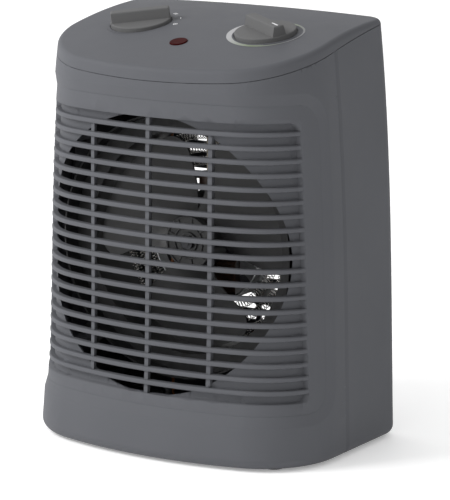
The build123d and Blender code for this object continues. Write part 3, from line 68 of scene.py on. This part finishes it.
# ---------------------------------------------------------------- finishes
class Finish:
    """A procedural surface: one shader, with patterns read from the piece's own coordinates."""

    def __init__(self, name, colour, roughness, metallic=0.0, **numbers):
        self.material = bpy.data.materials.new(name)
        self.material.use_nodes = True
        self.tree = self.material.node_tree
        self.shader = self.tree.nodes["Principled BSDF"]
        self.colour = colour
        self.set("Base Color", (*colour, 1.0))
        self.set("Roughness", roughness)
        self.set("Metallic", metallic)
        for socket, value in numbers.items():
            self.set(socket.replace("_", " "), value)
        self.coordinates = self.tree.nodes.new("ShaderNodeTexCoord").outputs["Object"]
        self.bump_before = None

    def set(self, socket, value):
        self.shader.inputs[socket].default_value = value

    def mapped(self, stretch, centre=(0, 0, 0)):
        """The piece's coordinates from a centre, stretched along each axis."""
        mapping = self.tree.nodes.new("ShaderNodeMapping")
        mapping.inputs["Location"].default_value = [-c * s for c, s in zip(centre, stretch)]
        mapping.inputs["Scale"].default_value = stretch
        self.tree.links.new(self.coordinates, mapping.inputs["Vector"])
        return mapping.outputs["Vector"]

    def noise(self, scale, detail=3.0, stretch=(1, 1, 1)):
        node = self.tree.nodes.new("ShaderNodeTexNoise")
        node.inputs["Scale"].default_value = scale
        node.inputs["Detail"].default_value = detail
        self.tree.links.new(self.mapped(stretch), node.inputs["Vector"])
        return node.outputs["Fac"]

    def cells(self, scale, feature="F1", stretch=(1, 1, 1)):
        node = self.tree.nodes.new("ShaderNodeTexVoronoi")
        node.feature = feature
        node.inputs["Scale"].default_value = scale
        self.tree.links.new(self.mapped(stretch), node.inputs["Vector"])
        return node.outputs["Distance"]

    def bands(self, scale, direction, distortion=0.0, kind="BANDS", centre=(0, 0, 0)):
        node = self.tree.nodes.new("ShaderNodeTexWave")
        node.wave_type = kind
        if kind == "BANDS":
            node.bands_direction = direction
        else:
            node.rings_direction = direction
        node.inputs["Scale"].default_value = scale
        node.inputs["Distortion"].default_value = distortion
        self.tree.links.new(self.mapped((1, 1, 1), centre), node.inputs["Vector"])
        return node.outputs["Fac"]

    def tint(self, pattern, dark, light, low=0.3, high=0.7):
        """The colour runs from dark to light times the finish's own colour over the pattern."""
        ramp = self.tree.nodes.new("ShaderNodeValToRGB")
        for stop, place, share in zip(ramp.color_ramp.elements, (low, high), (dark, light)):
            stop.position = place
            stop.color = (*[min(1.0, c * share) for c in self.colour], 1.0)
        self.tree.links.new(pattern, ramp.inputs["Fac"])
        self.tree.links.new(ramp.outputs["Color"], self.shader.inputs["Base Color"])
        return self

    def polish(self, pattern, low, high):
        """The roughness runs from low to high over the pattern."""
        span = self.tree.nodes.new("ShaderNodeMapRange")
        span.inputs["To Min"].default_value = low
        span.inputs["To Max"].default_value = high
        self.tree.links.new(pattern, span.inputs["Value"])
        self.tree.links.new(span.outputs["Result"], self.shader.inputs["Roughness"])
        return self

    def relief(self, pattern, height, strength=1.0):
        """A fine relief of that height, in metres, laid over any relief already there."""
        bump = self.tree.nodes.new("ShaderNodeBump")
        bump.inputs["Distance"].default_value = height
        bump.inputs["Strength"].default_value = strength
        self.tree.links.new(pattern, bump.inputs["Height"])
        if self.bump_before is not None:
            self.tree.links.new(self.bump_before, bump.inputs["Normal"])
        self.bump_before = bump.outputs["Normal"]
        self.tree.links.new(self.bump_before, self.shader.inputs["Normal"])
        return self


def moulded(name, colour, roughness, grain=0.00003, grain_scale=1500.0, **numbers):
    """Moulded plastic with a fine spark-eroded grain and a little unevenness in its gloss."""
    finish = Finish(name, colour, roughness, **numbers)
    finish.tint(finish.noise(9.0, 4.0), 0.965, 1.035)
    finish.polish(finish.noise(55.0, 5.0), roughness - 0.05, roughness + 0.06)
    finish.relief(finish.noise(grain_scale, 2.0), grain, 0.55)
    return finish


housing_grey = moulded("housing_grey", (0.094, 0.0965, 0.106), 0.58, Specular_IOR_Level=0.1)
knob_grey = moulded("knob_grey", (0.118, 0.118, 0.119), 0.55, Specular_IOR_Level=0.04)
fan_black = moulded("fan_black", (0.024, 0.024, 0.025), 0.34, 0.00001, 900.0)
switch_brown = moulded("switch_brown", (0.055, 0.032, 0.022), 0.36)
block_white = moulded("block_white", (0.66, 0.66, 0.62), 0.5)
wire_sleeve = moulded("wire_sleeve", (0.45, 0.17, 0.05), 0.4, 0.00002, 700.0)

rubber_black = Finish("rubber_black", (0.022, 0.022, 0.023), 0.78)
rubber_black.tint(rubber_black.noise(160.0), 0.8, 1.3)
rubber_black.relief(rubber_black.noise(2400.0, 4.0), 0.00006, 0.8)

zinc_plate = Finish("zinc_plate", (0.62, 0.62, 0.60), 0.32, 1.0)
zinc_plate.tint(zinc_plate.noise(420.0, 5.0), 0.82, 1.08)
zinc_plate.polish(zinc_plate.noise(900.0), 0.22, 0.45)
zinc_plate.relief(zinc_plate.noise(2200.0), 0.00002, 0.4)

galvanised = Finish("galvanised_sheet", (0.50, 0.51, 0.52), 0.42, 1.0)
galvanised.tint(galvanised.cells(130.0), 0.78, 1.12, 0.05, 0.75)
galvanised.polish(galvanised.cells(210.0), 0.3, 0.55)
galvanised.relief(galvanised.noise(600.0, 5.0, (1, 0.15, 1)), 0.00003, 0.4)

# The duct's sheet is coloured near black: painted shade standing in for the dark inside of the heater.
# Its mottle is the sheet's galvanised spangle.
duct_painted_shade = Finish("duct_painted_shade", (0.024, 0.024, 0.025), 0.6, 0.3)
duct_painted_shade.tint(duct_painted_shade.cells(95.0), 0.75, 1.15, 0.05, 0.75)
duct_painted_shade.polish(duct_painted_shade.noise(260.0, 5.0), 0.38, 0.6)
duct_painted_shade.relief(duct_painted_shade.noise(900.0, 4.0), 0.00002, 0.4)

blued_steel = Finish("blued_steel", (0.06, 0.06, 0.065), 0.4, 0.8)
blued_steel.tint(blued_steel.noise(900.0, 4.0), 0.85, 1.08)
blued_steel.relief(blued_steel.noise(500.0, 3.0, (1, 14, 1)), 0.00001, 0.5)

stack_sheets = Finish("stack_sheets", (0.11, 0.11, 0.12), 0.45, 0.7)
stack_sheets.tint(stack_sheets.bands(320.0, "Y", 0.4), 0.55, 1.3)
stack_sheets.relief(stack_sheets.bands(320.0, "Y", 0.2), 0.0001, 0.6)

# The winding's tape is coloured a very dark brown, far darker than the tape's own orange: painted shade
# for the shade behind the fan. Its bands are the tape's turns.
winding_painted_shade = Finish("winding_painted_shade", (0.06, 0.028, 0.016), 0.35, Coat_Weight=0.4, Coat_Roughness=0.2)
winding_painted_shade.tint(winding_painted_shade.bands(260.0, "X", 0.6), 0.5, 1.2)
winding_painted_shade.relief(winding_painted_shade.bands(260.0, "X", 0.5), 0.0002, 0.8)

bronze = Finish("sintered_bronze", (0.52, 0.34, 0.16), 0.42, 1.0)
bronze.tint(bronze.noise(1500.0, 5.0), 0.65, 1.15)
bronze.relief(bronze.noise(2600.0, 4.0), 0.00004, 0.6)

plain_brass = Finish("plain_brass", (0.68, 0.50, 0.22), 0.3, 1.0)
plain_brass.tint(plain_brass.noise(380.0, 5.0), 0.75, 1.08)
plain_brass.polish(plain_brass.noise(700.0), 0.2, 0.42)

mica_sheet = Finish("mica_sheet", (0.30, 0.25, 0.17), 0.38, Coat_Weight=0.35, Coat_Roughness=0.25)
mica_sheet.tint(mica_sheet.noise(240.0, 8.0, (1, 0.35, 1)), 0.45, 1.45)
mica_sheet.polish(mica_sheet.noise(420.0, 6.0), 0.22, 0.6)
mica_sheet.relief(mica_sheet.cells(520.0), 0.00005, 0.5)

bright_wire = Finish("bright_wire", (0.78, 0.76, 0.73), 0.2, 1.0)
bright_wire.tint(bright_wire.noise(260.0, 3.0), 0.72, 1.12)
bright_wire.polish(bright_wire.noise(1400.0, 3.0), 0.14, 0.34)

steatite = Finish("steatite", (0.72, 0.69, 0.62), 0.6)
steatite.tint(steatite.noise(300.0, 6.0), 0.86, 1.05)
steatite.relief(steatite.noise(1900.0, 5.0), 0.00004, 0.6)

lens_red = Finish("lens_red", (0.03, 0.001, 0.0011), 0.4, Specular_IOR_Level=0.02)
lens_red.tint(lens_red.noise(300.0, 3.0), 0.8, 1.3)
lens_red.relief(lens_red.cells(900.0), 0.0001, 0.35)

lamp_glass = Finish("lamp_glass", (0.85, 0.72, 0.62), 0.06, Transmission_Weight=0.8)
lamp_glass.tint(lamp_glass.noise(500.0), 0.9, 1.1)
lamp_glass.relief(lamp_glass.noise(700.0), 0.00003, 0.3)

print_white = Finish("print_white", (0.62, 0.62, 0.63), 0.55)
print_white.tint(print_white.noise(900.0, 5.0), 0.93, 1.04)
print_white.relief(print_white.noise(3000.0, 3.0), 0.00001, 0.4)

FINISHES = {
    housing_grey: ("front_shell", "rear_shell", "top_cover"),
    knob_grey: ("function_knob", "thermostat_knob"),
    fan_black: ("fan_impeller",),
    switch_brown: ("selector_switch", "thermal_cutout"),
    block_white: ("terminal_block", "lamp_holder"),
    wire_sleeve: ("internal_wires",),
    rubber_black: ("rubber_feet", "cord_bushing"),
    zinc_plate: (
        "base_screws", "shell_screws", "plate_screws", "duct_screws", "mount_screws", "motor_screws",
    ),
    galvanised: (
        "base_plate", "control_plate", "motor_bracket", "front_bearing_bracket", "rear_bearing_bracket",
        "bimetal_strip", "heat_sleeve",
    ),
    duct_painted_shade: ("air_duct",),
    blued_steel: ("motor_shaft", "motor_rotor", "fan_clip"),
    stack_sheets: ("motor_stator",),
    winding_painted_shade: ("motor_winding",),
    bronze: ("front_bearing", "rear_bearing"),
    plain_brass: ("selector_shaft", "thermostat_spindle", "switch_tags", "terminal_screws", "bush_nuts"),
    mica_sheet: ("mica_boards",),
    bright_wire: ("heating_coil_inner", "heating_coil_middle", "heating_coil_outer"),
    steatite: ("thermostat_body", "thermal_fuse"),
    lens_red: ("pilot_lens",),
    lamp_glass: ("neon_lamp",),
}


def dress(piece, finish):
    piece.data.materials.clear()
    piece.data.materials.append(finish.material)


for finish, names in FINISHES.items():
    for name in names:
        dress(NODES[name], finish)


# ---------------------------------------------------------------- modelling helpers
MERGE_DISTANCE = 0.000002


def clear_selection():
    if bpy.context.object is not None and bpy.context.object.mode != "OBJECT":
        bpy.ops.object.mode_set(mode="OBJECT")
    bpy.ops.object.select_all(action="DESELECT")


def pick(piece):
    clear_selection()
    piece.select_set(True)
    bpy.context.view_layer.objects.active = piece


def place(piece, matrix):
    """Lays a piece modelled round the origin in its place, with its object left at the origin."""
    pick(piece)
    piece.matrix_world = matrix @ piece.matrix_world
    bpy.ops.object.transform_apply(location=True, rotation=True, scale=True)


def finish_piece(piece, name, body, finish, angle=30.0):
    pick(piece)
    bpy.ops.object.mode_set(mode="EDIT")
    bpy.ops.mesh.select_all(action="SELECT")
    bpy.ops.mesh.remove_doubles(threshold=MERGE_DISTANCE)
    bpy.ops.mesh.normals_make_consistent(inside=False)
    bpy.ops.object.mode_set(mode="OBJECT")
    bpy.ops.object.shade_smooth_by_angle(angle=math.radians(angle))
    piece.name = piece.data.name = name
    dress(piece, finish)
    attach(piece, body)


def thicken(piece, thickness, side):
    """Gives a flat piece a body: side is 1 to grow along its normals and -1 to grow against them."""
    pick(piece)
    body = piece.modifiers.new("body", "SOLIDIFY")
    body.thickness = thickness
    body.offset = side
    bpy.ops.object.modifier_apply(modifier="body")


def frame_at(origin, normal, across=Vector((1, 0, 0))):
    """Placement with its Z along normal and its X near across."""
    z = Vector(normal).normalized()
    y = z.cross(across).normalized()
    x = y.cross(z)
    matrix = Matrix((x, y, z)).transposed().to_4x4()
    matrix.translation = origin
    return matrix


def joined(pieces):
    clear_selection()
    for piece in pieces:
        piece.select_set(True)
    bpy.context.view_layer.objects.active = pieces[0]
    bpy.ops.object.join()
    return bpy.context.object


# ---------------------------------------------------------------- wound heating coils
duct_low, duct_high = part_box("air_duct")
fan_axis = Vector((0, 0, (duct_low.z + duct_high.z) / 2))
WIRE_RADIUS = 0.00036
TURN_PITCH = 0.0026
COIL_STEPS = 11


def wound_coil(name, node):
    """Resistance wire wound into a close coil, laid in a ring round the fan's axis."""
    low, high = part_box(node)
    coil_radius = (high.y - low.y) / 2
    ring_radius = (high.x - low.x) / 2 - coil_radius
    length = 2 * math.pi * ring_radius
    turns = round(length / TURN_PITCH)
    clear_selection()
    bpy.ops.mesh.primitive_circle_add(
        vertices=5, radius=WIRE_RADIUS, location=(0, coil_radius - WIRE_RADIUS * 1.6, 0)
    )
    coil = bpy.context.object
    bpy.ops.object.transform_apply(location=True, rotation=True, scale=True)
    winding = coil.modifiers.new("winding", "SCREW")
    winding.axis = "X"
    winding.screw_offset = length / turns
    winding.iterations = turns
    winding.steps = winding.render_steps = COIL_STEPS
    winding.use_merge_vertices = True
    winding.merge_threshold = 0.000001
    bpy.ops.object.modifier_apply(modifier="winding")
    bpy.ops.curve.primitive_bezier_circle_add(radius=ring_radius)
    ring = bpy.context.object
    ring.data.resolution_u = 64
    pick(coil)
    bend = coil.modifiers.new("bend", "CURVE")
    bend.object = ring
    bpy.ops.object.modifier_apply(modifier="bend")
    bpy.data.objects.remove(ring)
    place(coil, frame_at(Vector((0, (low.y + high.y) / 2, fan_axis.z)), (0, -1, 0)))
    finish_piece(coil, name, HOUSING, bright_wire, 80.0)
    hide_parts(node)


wound_coil("wound_coil_inner", "heating_coil_inner")
wound_coil("wound_coil_middle", "heating_coil_middle")
wound_coil("wound_coil_outer", "heating_coil_outer")

# ---------------------------------------------------------------- front moulding
# A soft band leads from the front shell's skin down to its recessed slat panel.
PANEL_LOW = 43.0 * MM
PANEL_HIGH = 282.0 * MM
PANEL_END = -20.1 * MM
PANEL_CORNER = 18.0 * MM
BAND_WIDTH = 9.0 * MM
BAND_DEPTH = 2.0 * MM
BAND_STEP = 1.5 * MM
EDGE_SLACK = 0.02 * MM
LOWEST_CUT_FACE = PANEL_LOW - 4 * BAND_WIDTH
LEAST_OUTWARD = 0.3
MOULDING_SHARP_ANGLE = 24.0
shell_low, shell_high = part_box("front_shell")


def beyond_panel(point):
    """Distance outside the recessed panel's rounded edge, as seen from the side."""
    back = point.y - (PANEL_END - PANEL_CORNER)
    half_height = (PANEL_HIGH - PANEL_LOW) / 2
    rise = abs(point.z - (PANEL_LOW + PANEL_HIGH) / 2) - (half_height - PANEL_CORNER)
    return math.hypot(max(back, 0.0), max(rise, 0.0)) + min(max(back, rise), 0.0) - PANEL_CORNER


def on_skin(face):
    """Whether a face is on the outer skin of the shell, round the panel."""
    outward = Vector((face.center.x / shell_high.x, face.center.y / -shell_low.y, 0.0)).normalized()
    return face.normal.dot(outward) > LEAST_OUTWARD and beyond_panel(face.center) > EDGE_SLACK


def steps(start, end):
    count = round((end - start) / BAND_STEP)
    return [start + (end - start) * step / count for step in range(count + 1)]


def cut_band(moulding):
    """Cuts the skin round the panel into narrow strips, so that it can bend."""
    for face in moulding.data.polygons:
        face.select = on_skin(face) and face.center.z > LOWEST_CUT_FACE
    levels = steps(PANEL_LOW - BAND_WIDTH, PANEL_LOW + PANEL_CORNER)
    levels += steps(PANEL_HIGH - PANEL_CORNER, PANEL_HIGH + BAND_WIDTH)
    depths = steps(PANEL_END - PANEL_CORNER, PANEL_END + BAND_WIDTH)
    cuts = [((0, 0, z), (0, 0, 1)) for z in levels]
    cuts += [((0, y, 0), (0, 1, 0)) for y in depths]
    bpy.ops.object.mode_set(mode="EDIT")
    bpy.ops.mesh.hide(unselected=True)
    for point, normal in cuts:
        bpy.ops.mesh.select_all(action="SELECT")
        bpy.ops.mesh.bisect(plane_co=point, plane_no=normal)
    bpy.ops.mesh.reveal()
    bpy.ops.object.mode_set(mode="OBJECT")


def sink_band(moulding):
    """Leans the strips inwards, from nothing at the band's outer edge to its depth at the panel."""
    leans = {}
    for face in moulding.data.polygons:
        if on_skin(face) and beyond_panel(face.center) < BAND_WIDTH:
            for corner in face.vertices:
                leans[corner] = leans.get(corner, Vector()) + face.normal * face.area
    for corner, lean in leans.items():
        point = moulding.data.vertices[corner]
        share = 1.0 - min(max(beyond_panel(point.co) / BAND_WIDTH, 0.0), 1.0)
        point.co -= lean.normalized() * BAND_DEPTH * share


def front_moulding():
    clear_selection()
    moulding = NODES["front_shell"].copy()
    moulding.data = NODES["front_shell"].data.copy()
    bpy.context.scene.collection.objects.link(moulding)
    pick(moulding)
    bpy.ops.object.transform_apply(location=True, rotation=True, scale=True)
    bpy.ops.object.mode_set(mode="EDIT")
    bpy.ops.mesh.select_mode(type="FACE")
    bpy.ops.mesh.select_all(action="SELECT")
    bpy.ops.mesh.remove_doubles(threshold=MERGE_DISTANCE)
    bpy.ops.mesh.select_all(action="DESELECT")
    bpy.ops.object.mode_set(mode="OBJECT")
    cut_band(moulding)
    sink_band(moulding)
    finish_piece(moulding, "front_moulding", HOUSING, housing_grey, MOULDING_SHARP_ANGLE)
    even = moulding.modifiers.new("even", "WEIGHTED_NORMAL")
    even.mode = "FACE_AREA"
    even.weight = 100
    even.keep_sharp = True
    bpy.ops.object.modifier_apply(modifier="even")
    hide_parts("front_shell")


front_moulding()

# ---------------------------------------------------------------- marks round the knobs
cover = NODES["top_cover"]


def knob_frame(joint_name):
    """Placement on a knob's axis where it meets the cover, with X to the right."""
    joint = JOINTS[joint_name]
    return frame_at(Vector(joint["pos_m"]), joint["axis"])


function_frame = knob_frame("function_knob_turn")
thermostat_frame = knob_frame("thermostat_knob_turn")
PRINT_HEIGHT = 0.12 * MM
PRINT_GAP = 0.06 * MM
PRINT_MERGE = 0.01 * MM


def printed(pieces, name, knob, finish):
    """Flat print modelled over a knob's axis: laid on the cover's skin and given a thin body."""
    mark = joined(pieces)
    pick(mark)
    bpy.ops.object.mode_set(mode="EDIT")
    bpy.ops.mesh.select_all(action="SELECT")
    bpy.ops.mesh.remove_doubles(threshold=PRINT_MERGE)
    bpy.ops.mesh.subdivide(number_cuts=2)
    bpy.ops.mesh.normals_make_consistent(inside=False)
    bpy.ops.object.mode_set(mode="OBJECT")
    place(mark, knob)
    laid = mark.modifiers.new("laid", "SHRINKWRAP")
    laid.target = cover
    laid.wrap_method = "NEAREST_SURFACEPOINT"
    laid.wrap_mode = "ABOVE_SURFACE"
    laid.offset = PRINT_GAP + PRINT_HEIGHT
    bpy.ops.object.modifier_apply(modifier="laid")
    thicken(mark, PRINT_HEIGHT, -1.0)
    finish_piece(mark, name, HOUSING, finish)


def flat_ring(radius, width, centre, shift=0.0, vertices=96):
    """Flat ring in the XY plane; shift moves its inner edge over and makes a crescent of it."""
    clear_selection()
    bpy.ops.mesh.primitive_circle_add(vertices=vertices, radius=radius, location=(*centre, 0))
    ring = bpy.context.object
    bpy.ops.object.mode_set(mode="EDIT")
    bpy.ops.mesh.select_all(action="SELECT")
    bpy.ops.mesh.extrude_edges_move()
    inner = (radius - width) / radius
    bpy.ops.transform.resize(value=(inner, inner, 1.0), center_override=(*centre, 0))
    bpy.ops.transform.translate(value=(shift, 0, 0))
    bpy.ops.object.mode_set(mode="OBJECT")
    bpy.ops.object.transform_apply(location=True, rotation=True, scale=True)
    return ring


def flat_disc(radius, centre, vertices=24):
    """Flat disc with a ring of faces round its middle."""
    clear_selection()
    bpy.ops.mesh.primitive_circle_add(
        vertices=vertices, radius=radius * 0.5, fill_type="NGON", location=(*centre, 0)
    )
    disc = bpy.context.object
    bpy.ops.object.mode_set(mode="EDIT")
    bpy.ops.mesh.select_all(action="SELECT")
    bpy.ops.mesh.extrude_edges_move()
    bpy.ops.transform.resize(value=(2.0, 2.0, 1.0), center_override=(*centre, 0))
    bpy.ops.object.mode_set(mode="OBJECT")
    bpy.ops.object.transform_apply(location=True, rotation=True, scale=True)
    return disc


def flat_bar(length, width, centre, turn=0.0):
    """Flat bar with its four corners bevelled round."""
    clear_selection()
    bpy.ops.mesh.primitive_plane_add(size=1.0, location=(*centre, 0), rotation=(0, 0, turn))
    bar = bpy.context.object
    bar.scale = (length, width, 1.0)
    bpy.ops.object.transform_apply(location=True, rotation=True, scale=True)
    bpy.ops.object.mode_set(mode="EDIT")
    bpy.ops.mesh.select_all(action="SELECT")
    bpy.ops.mesh.bevel(offset=width * 0.45, segments=4, affect="VERTICES")
    bpy.ops.object.mode_set(mode="OBJECT")
    return bar


# The temperature scale swells from a fine line to a broad crescent on its cold side.
SCALE_RADIUS = 30.6 * MM
SCALE_WIDTH = 2.9 * MM
SCALE_SWELL = 1.6 * MM


def scale_finish():
    """Print that runs from pale grey through a green tinge to mid grey, left to right."""
    finish = Finish("scale_print", (0.60, 0.60, 0.61), 0.55)
    middle = thermostat_frame.translation.x
    across = finish.tree.nodes.new("ShaderNodeSeparateXYZ")
    finish.tree.links.new(finish.coordinates, across.inputs["Vector"])
    span = finish.tree.nodes.new("ShaderNodeMapRange")
    span.inputs["From Min"].default_value = middle - SCALE_RADIUS
    span.inputs["From Max"].default_value = middle + SCALE_RADIUS
    finish.tree.links.new(across.outputs["X"], span.inputs["Value"])
    ramp = finish.tree.nodes.new("ShaderNodeValToRGB")
    cold, hot = ramp.color_ramp.elements
    cold.position = 0.12
    cold.color = (0.34, 0.34, 0.35, 1.0)
    hot.position = 0.95
    hot.color = (0.16, 0.16, 0.17, 1.0)
    green = ramp.color_ramp.elements.new(0.55)
    green.color = (0.165, 0.20, 0.13, 1.0)
    finish.tree.links.new(span.outputs["Result"], ramp.inputs["Fac"])
    finish.tree.links.new(ramp.outputs["Color"], finish.shader.inputs["Base Color"])
    return finish.relief(finish.noise(3000.0, 3.0), 0.00001, 0.4)


scale_ring = flat_ring(SCALE_RADIUS, SCALE_WIDTH, (0, 0), SCALE_SWELL)
printed([scale_ring], "thermostat_scale", thermostat_frame, scale_finish())

# Plain marks beside the function knob: a ring with a dot for off, then one and two bars for the heats.
MARK_CIRCLE = 31.5 * MM
OFF_ANGLE, LOW_ANGLE, HIGH_ANGLE = 2.6, 33.0, 62.5
OFF_RING_RADIUS, OFF_RING_WIDTH, OFF_DOT_RADIUS = 1.9 * MM, 0.6 * MM, 0.5 * MM
BAR_LENGTH, BAR_WIDTH, BAR_SHIFT = 4.6 * MM, 0.75 * MM, 0.8 * MM


def on_mark_circle(angle, outward=0.0):
    turn = math.radians(angle)
    reach = MARK_CIRCLE + outward
    return reach * math.cos(turn), reach * math.sin(turn)


def heat_bars(angle, shifts):
    upright = math.radians(angle) + math.pi / 2
    return [flat_bar(BAR_LENGTH, BAR_WIDTH, on_mark_circle(angle, shift), upright) for shift in shifts]


off_centre = on_mark_circle(OFF_ANGLE)
marks = [flat_ring(OFF_RING_RADIUS, OFF_RING_WIDTH, off_centre, vertices=32)]
marks.append(flat_disc(OFF_DOT_RADIUS, off_centre))
marks += heat_bars(LOW_ANGLE, (0.0,))
marks += heat_bars(HIGH_ANGLE, (-BAR_SHIFT, BAR_SHIFT))
printed(marks, "function_marks", function_frame, print_white)

# A line let into the top of the thermostat knob's bar, near the end that points at the scale.
POINTER_LENGTH, POINTER_WIDTH, POINTER_DEPTH = 9.0 * MM, 1.3 * MM, 0.3 * MM
POINTER_REACH = 17.0 * MM
POINTER_LEVEL = 11.08 * MM
POINTER_ANGLE = math.radians(-30.0)
pointer = flat_bar(POINTER_LENGTH, POINTER_WIDTH, (POINTER_REACH, 0))
thicken(pointer, POINTER_DEPTH, -1.0)
pointer_turn = Matrix.Rotation(POINTER_ANGLE, 4, "Z")
place(pointer, thermostat_frame @ pointer_turn @ Matrix.Translation((0, 0, POINTER_LEVEL)))
finish_piece(pointer, "thermostat_pointer", THERMOSTAT_DIAL, print_white)

# ---------------------------------------------------------------- hub face
clip_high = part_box("fan_clip")[1]
HUB_FACE = clip_high.y + 0.1 * MM
HUB_RINGS = ((21.0, 1.4, 1.1), (13.5, 1.2, 1.1), (8.2, 1.6, 1.6))   # radius, width, height in mm
HUB_RING_EDGE = 0.25 * MM
HUB_SPOKES = 9
SPOKE_LENGTH, SPOKE_WIDTH, SPOKE_HEIGHT = 6.6 * MM, 1.1 * MM, 0.9 * MM
SPOKE_CIRCLE = 16.8 * MM


def hub_ring(radius, width, height):
    """Raised ring with a rounded edge on the hub's face."""
    ring = flat_ring(radius, width, (0, 0), vertices=72)
    thicken(ring, height, 1.0)
    edge = ring.modifiers.new("edge", "BEVEL")
    edge.width = HUB_RING_EDGE
    edge.segments = 2
    bpy.ops.object.modifier_apply(modifier="edge")
    return ring


def hub_spoke(turn):
    """Low rib between two of the hub's rings."""
    spoke = flat_bar(SPOKE_LENGTH, SPOKE_WIDTH, (SPOKE_CIRCLE, 0))
    thicken(spoke, SPOKE_HEIGHT, 1.0)
    place(spoke, Matrix.Rotation(turn, 4, "Z"))
    return spoke


hub_parts = [hub_ring(*[size * MM for size in sizes]) for sizes in HUB_RINGS]
hub_parts += [hub_spoke(math.tau * number / HUB_SPOKES) for number in range(HUB_SPOKES)]
hub_detail = joined(hub_parts)
place(hub_detail, frame_at(Vector((0, HUB_FACE, fan_axis.z)), (0, -1, 0)))
finish_piece(hub_detail, "hub_face_ribs", FAN, fan_black)

# ---------------------------------------------------------------- camera, light and floor
CAMERA_TARGET = Vector((0.00835, 0.02226, 0.14815))
CAMERA_AZIMUTH = math.radians(32.67)
CAMERA_ELEVATION = math.radians(11.98)
CAMERA_DISTANCE = 2.364


def direction_to(azimuth, elevation):
    """Unit vector from the heater, with azimuth 0 straight in front of it and 90 to its right."""
    across = math.cos(elevation)
    return Vector((math.sin(azimuth) * across, -math.cos(azimuth) * across, math.sin(elevation)))


def aimed(thing, direction):
    """Turns a camera or light so that it looks back along a direction from the heater."""
    thing.rotation_mode = "QUATERNION"
    thing.rotation_quaternion = (-direction).to_track_quat("-Z", "Y")


CAMERA_AWAY = direction_to(CAMERA_AZIMUTH, CAMERA_ELEVATION)
camera = bpy.data.objects.new("camera", bpy.data.cameras.new("camera"))
bpy.context.collection.objects.link(camera)
camera.data.sensor_width = 36.0
camera.data.lens = 213.55
camera.data.clip_end = 50.0
camera.location = CAMERA_TARGET + CAMERA_AWAY * CAMERA_DISTANCE
aimed(camera, CAMERA_AWAY)
bpy.context.scene.camera = camera

# One large square light stands high on the left, in front of the heater.
KEY_TARGET = Vector((0, 0, 0.17))
KEY_AWAY = direction_to(math.radians(-44.0), math.radians(38.0))
KEY_DISTANCE = 1.7
key_light = bpy.data.objects.new("key_light", bpy.data.lights.new("key_light", "AREA"))
bpy.context.collection.objects.link(key_light)
key_light.data.shape = "SQUARE"
key_light.data.size = 0.6
key_light.data.energy = 16.0
key_light.location = KEY_TARGET + KEY_AWAY * KEY_DISTANCE
aimed(key_light, KEY_AWAY)

# The studio's surround is brightest on the heater's left and falls off to its right.
SURROUND_DIM_SIDE = Vector((0.9, 0.3, 0.28)).normalized()
SURROUND_BRIGHT, SURROUND_DIM = 1.5, 0.46


def studio_surround():
    world = bpy.context.scene.world or bpy.data.worlds.new("world")
    bpy.context.scene.world = world
    world.use_nodes = True
    tree = world.node_tree
    background = tree.nodes["Background"]
    background.inputs["Color"].default_value = (1.0, 1.0, 1.0, 1.0)
    direction = tree.nodes.new("ShaderNodeTexCoord")
    towards_dim = tree.nodes.new("ShaderNodeVectorMath")
    towards_dim.operation = "DOT_PRODUCT"
    towards_dim.inputs[1].default_value = SURROUND_DIM_SIDE
    fall_off = tree.nodes.new("ShaderNodeMapRange")
    fall_off.inputs["From Min"].default_value = -1.0
    fall_off.inputs["From Max"].default_value = 1.0
    fall_off.inputs["To Min"].default_value = SURROUND_BRIGHT
    fall_off.inputs["To Max"].default_value = SURROUND_DIM
    tree.links.new(direction.outputs["Generated"], towards_dim.inputs[0])
    tree.links.new(towards_dim.outputs["Value"], fall_off.inputs["Value"])
    tree.links.new(fall_off.outputs["Result"], background.inputs["Strength"])


studio_surround()
bpy.context.scene.view_settings.view_transform = "Standard"

FLOOR_SIZE = 16.0
FLOOR_DROP = 0.05 * MM
clear_selection()
bpy.ops.mesh.primitive_plane_add(size=FLOOR_SIZE, location=(0, 0, cad_low.z - FLOOR_DROP))
floor = bpy.context.object
floor.name = floor.data.name = "studio_floor"
pale_floor = Finish("pale_floor", (0.97, 0.97, 0.97), 0.6, Specular_IOR_Level=0.2)
pale_floor.set("Emission Color", (1.0, 1.0, 1.0, 1.0))
pale_floor.set("Emission Strength", 0.25)
pale_floor.tint(pale_floor.noise(3.0), 0.995, 1.005)
dress(floor, pale_floor)
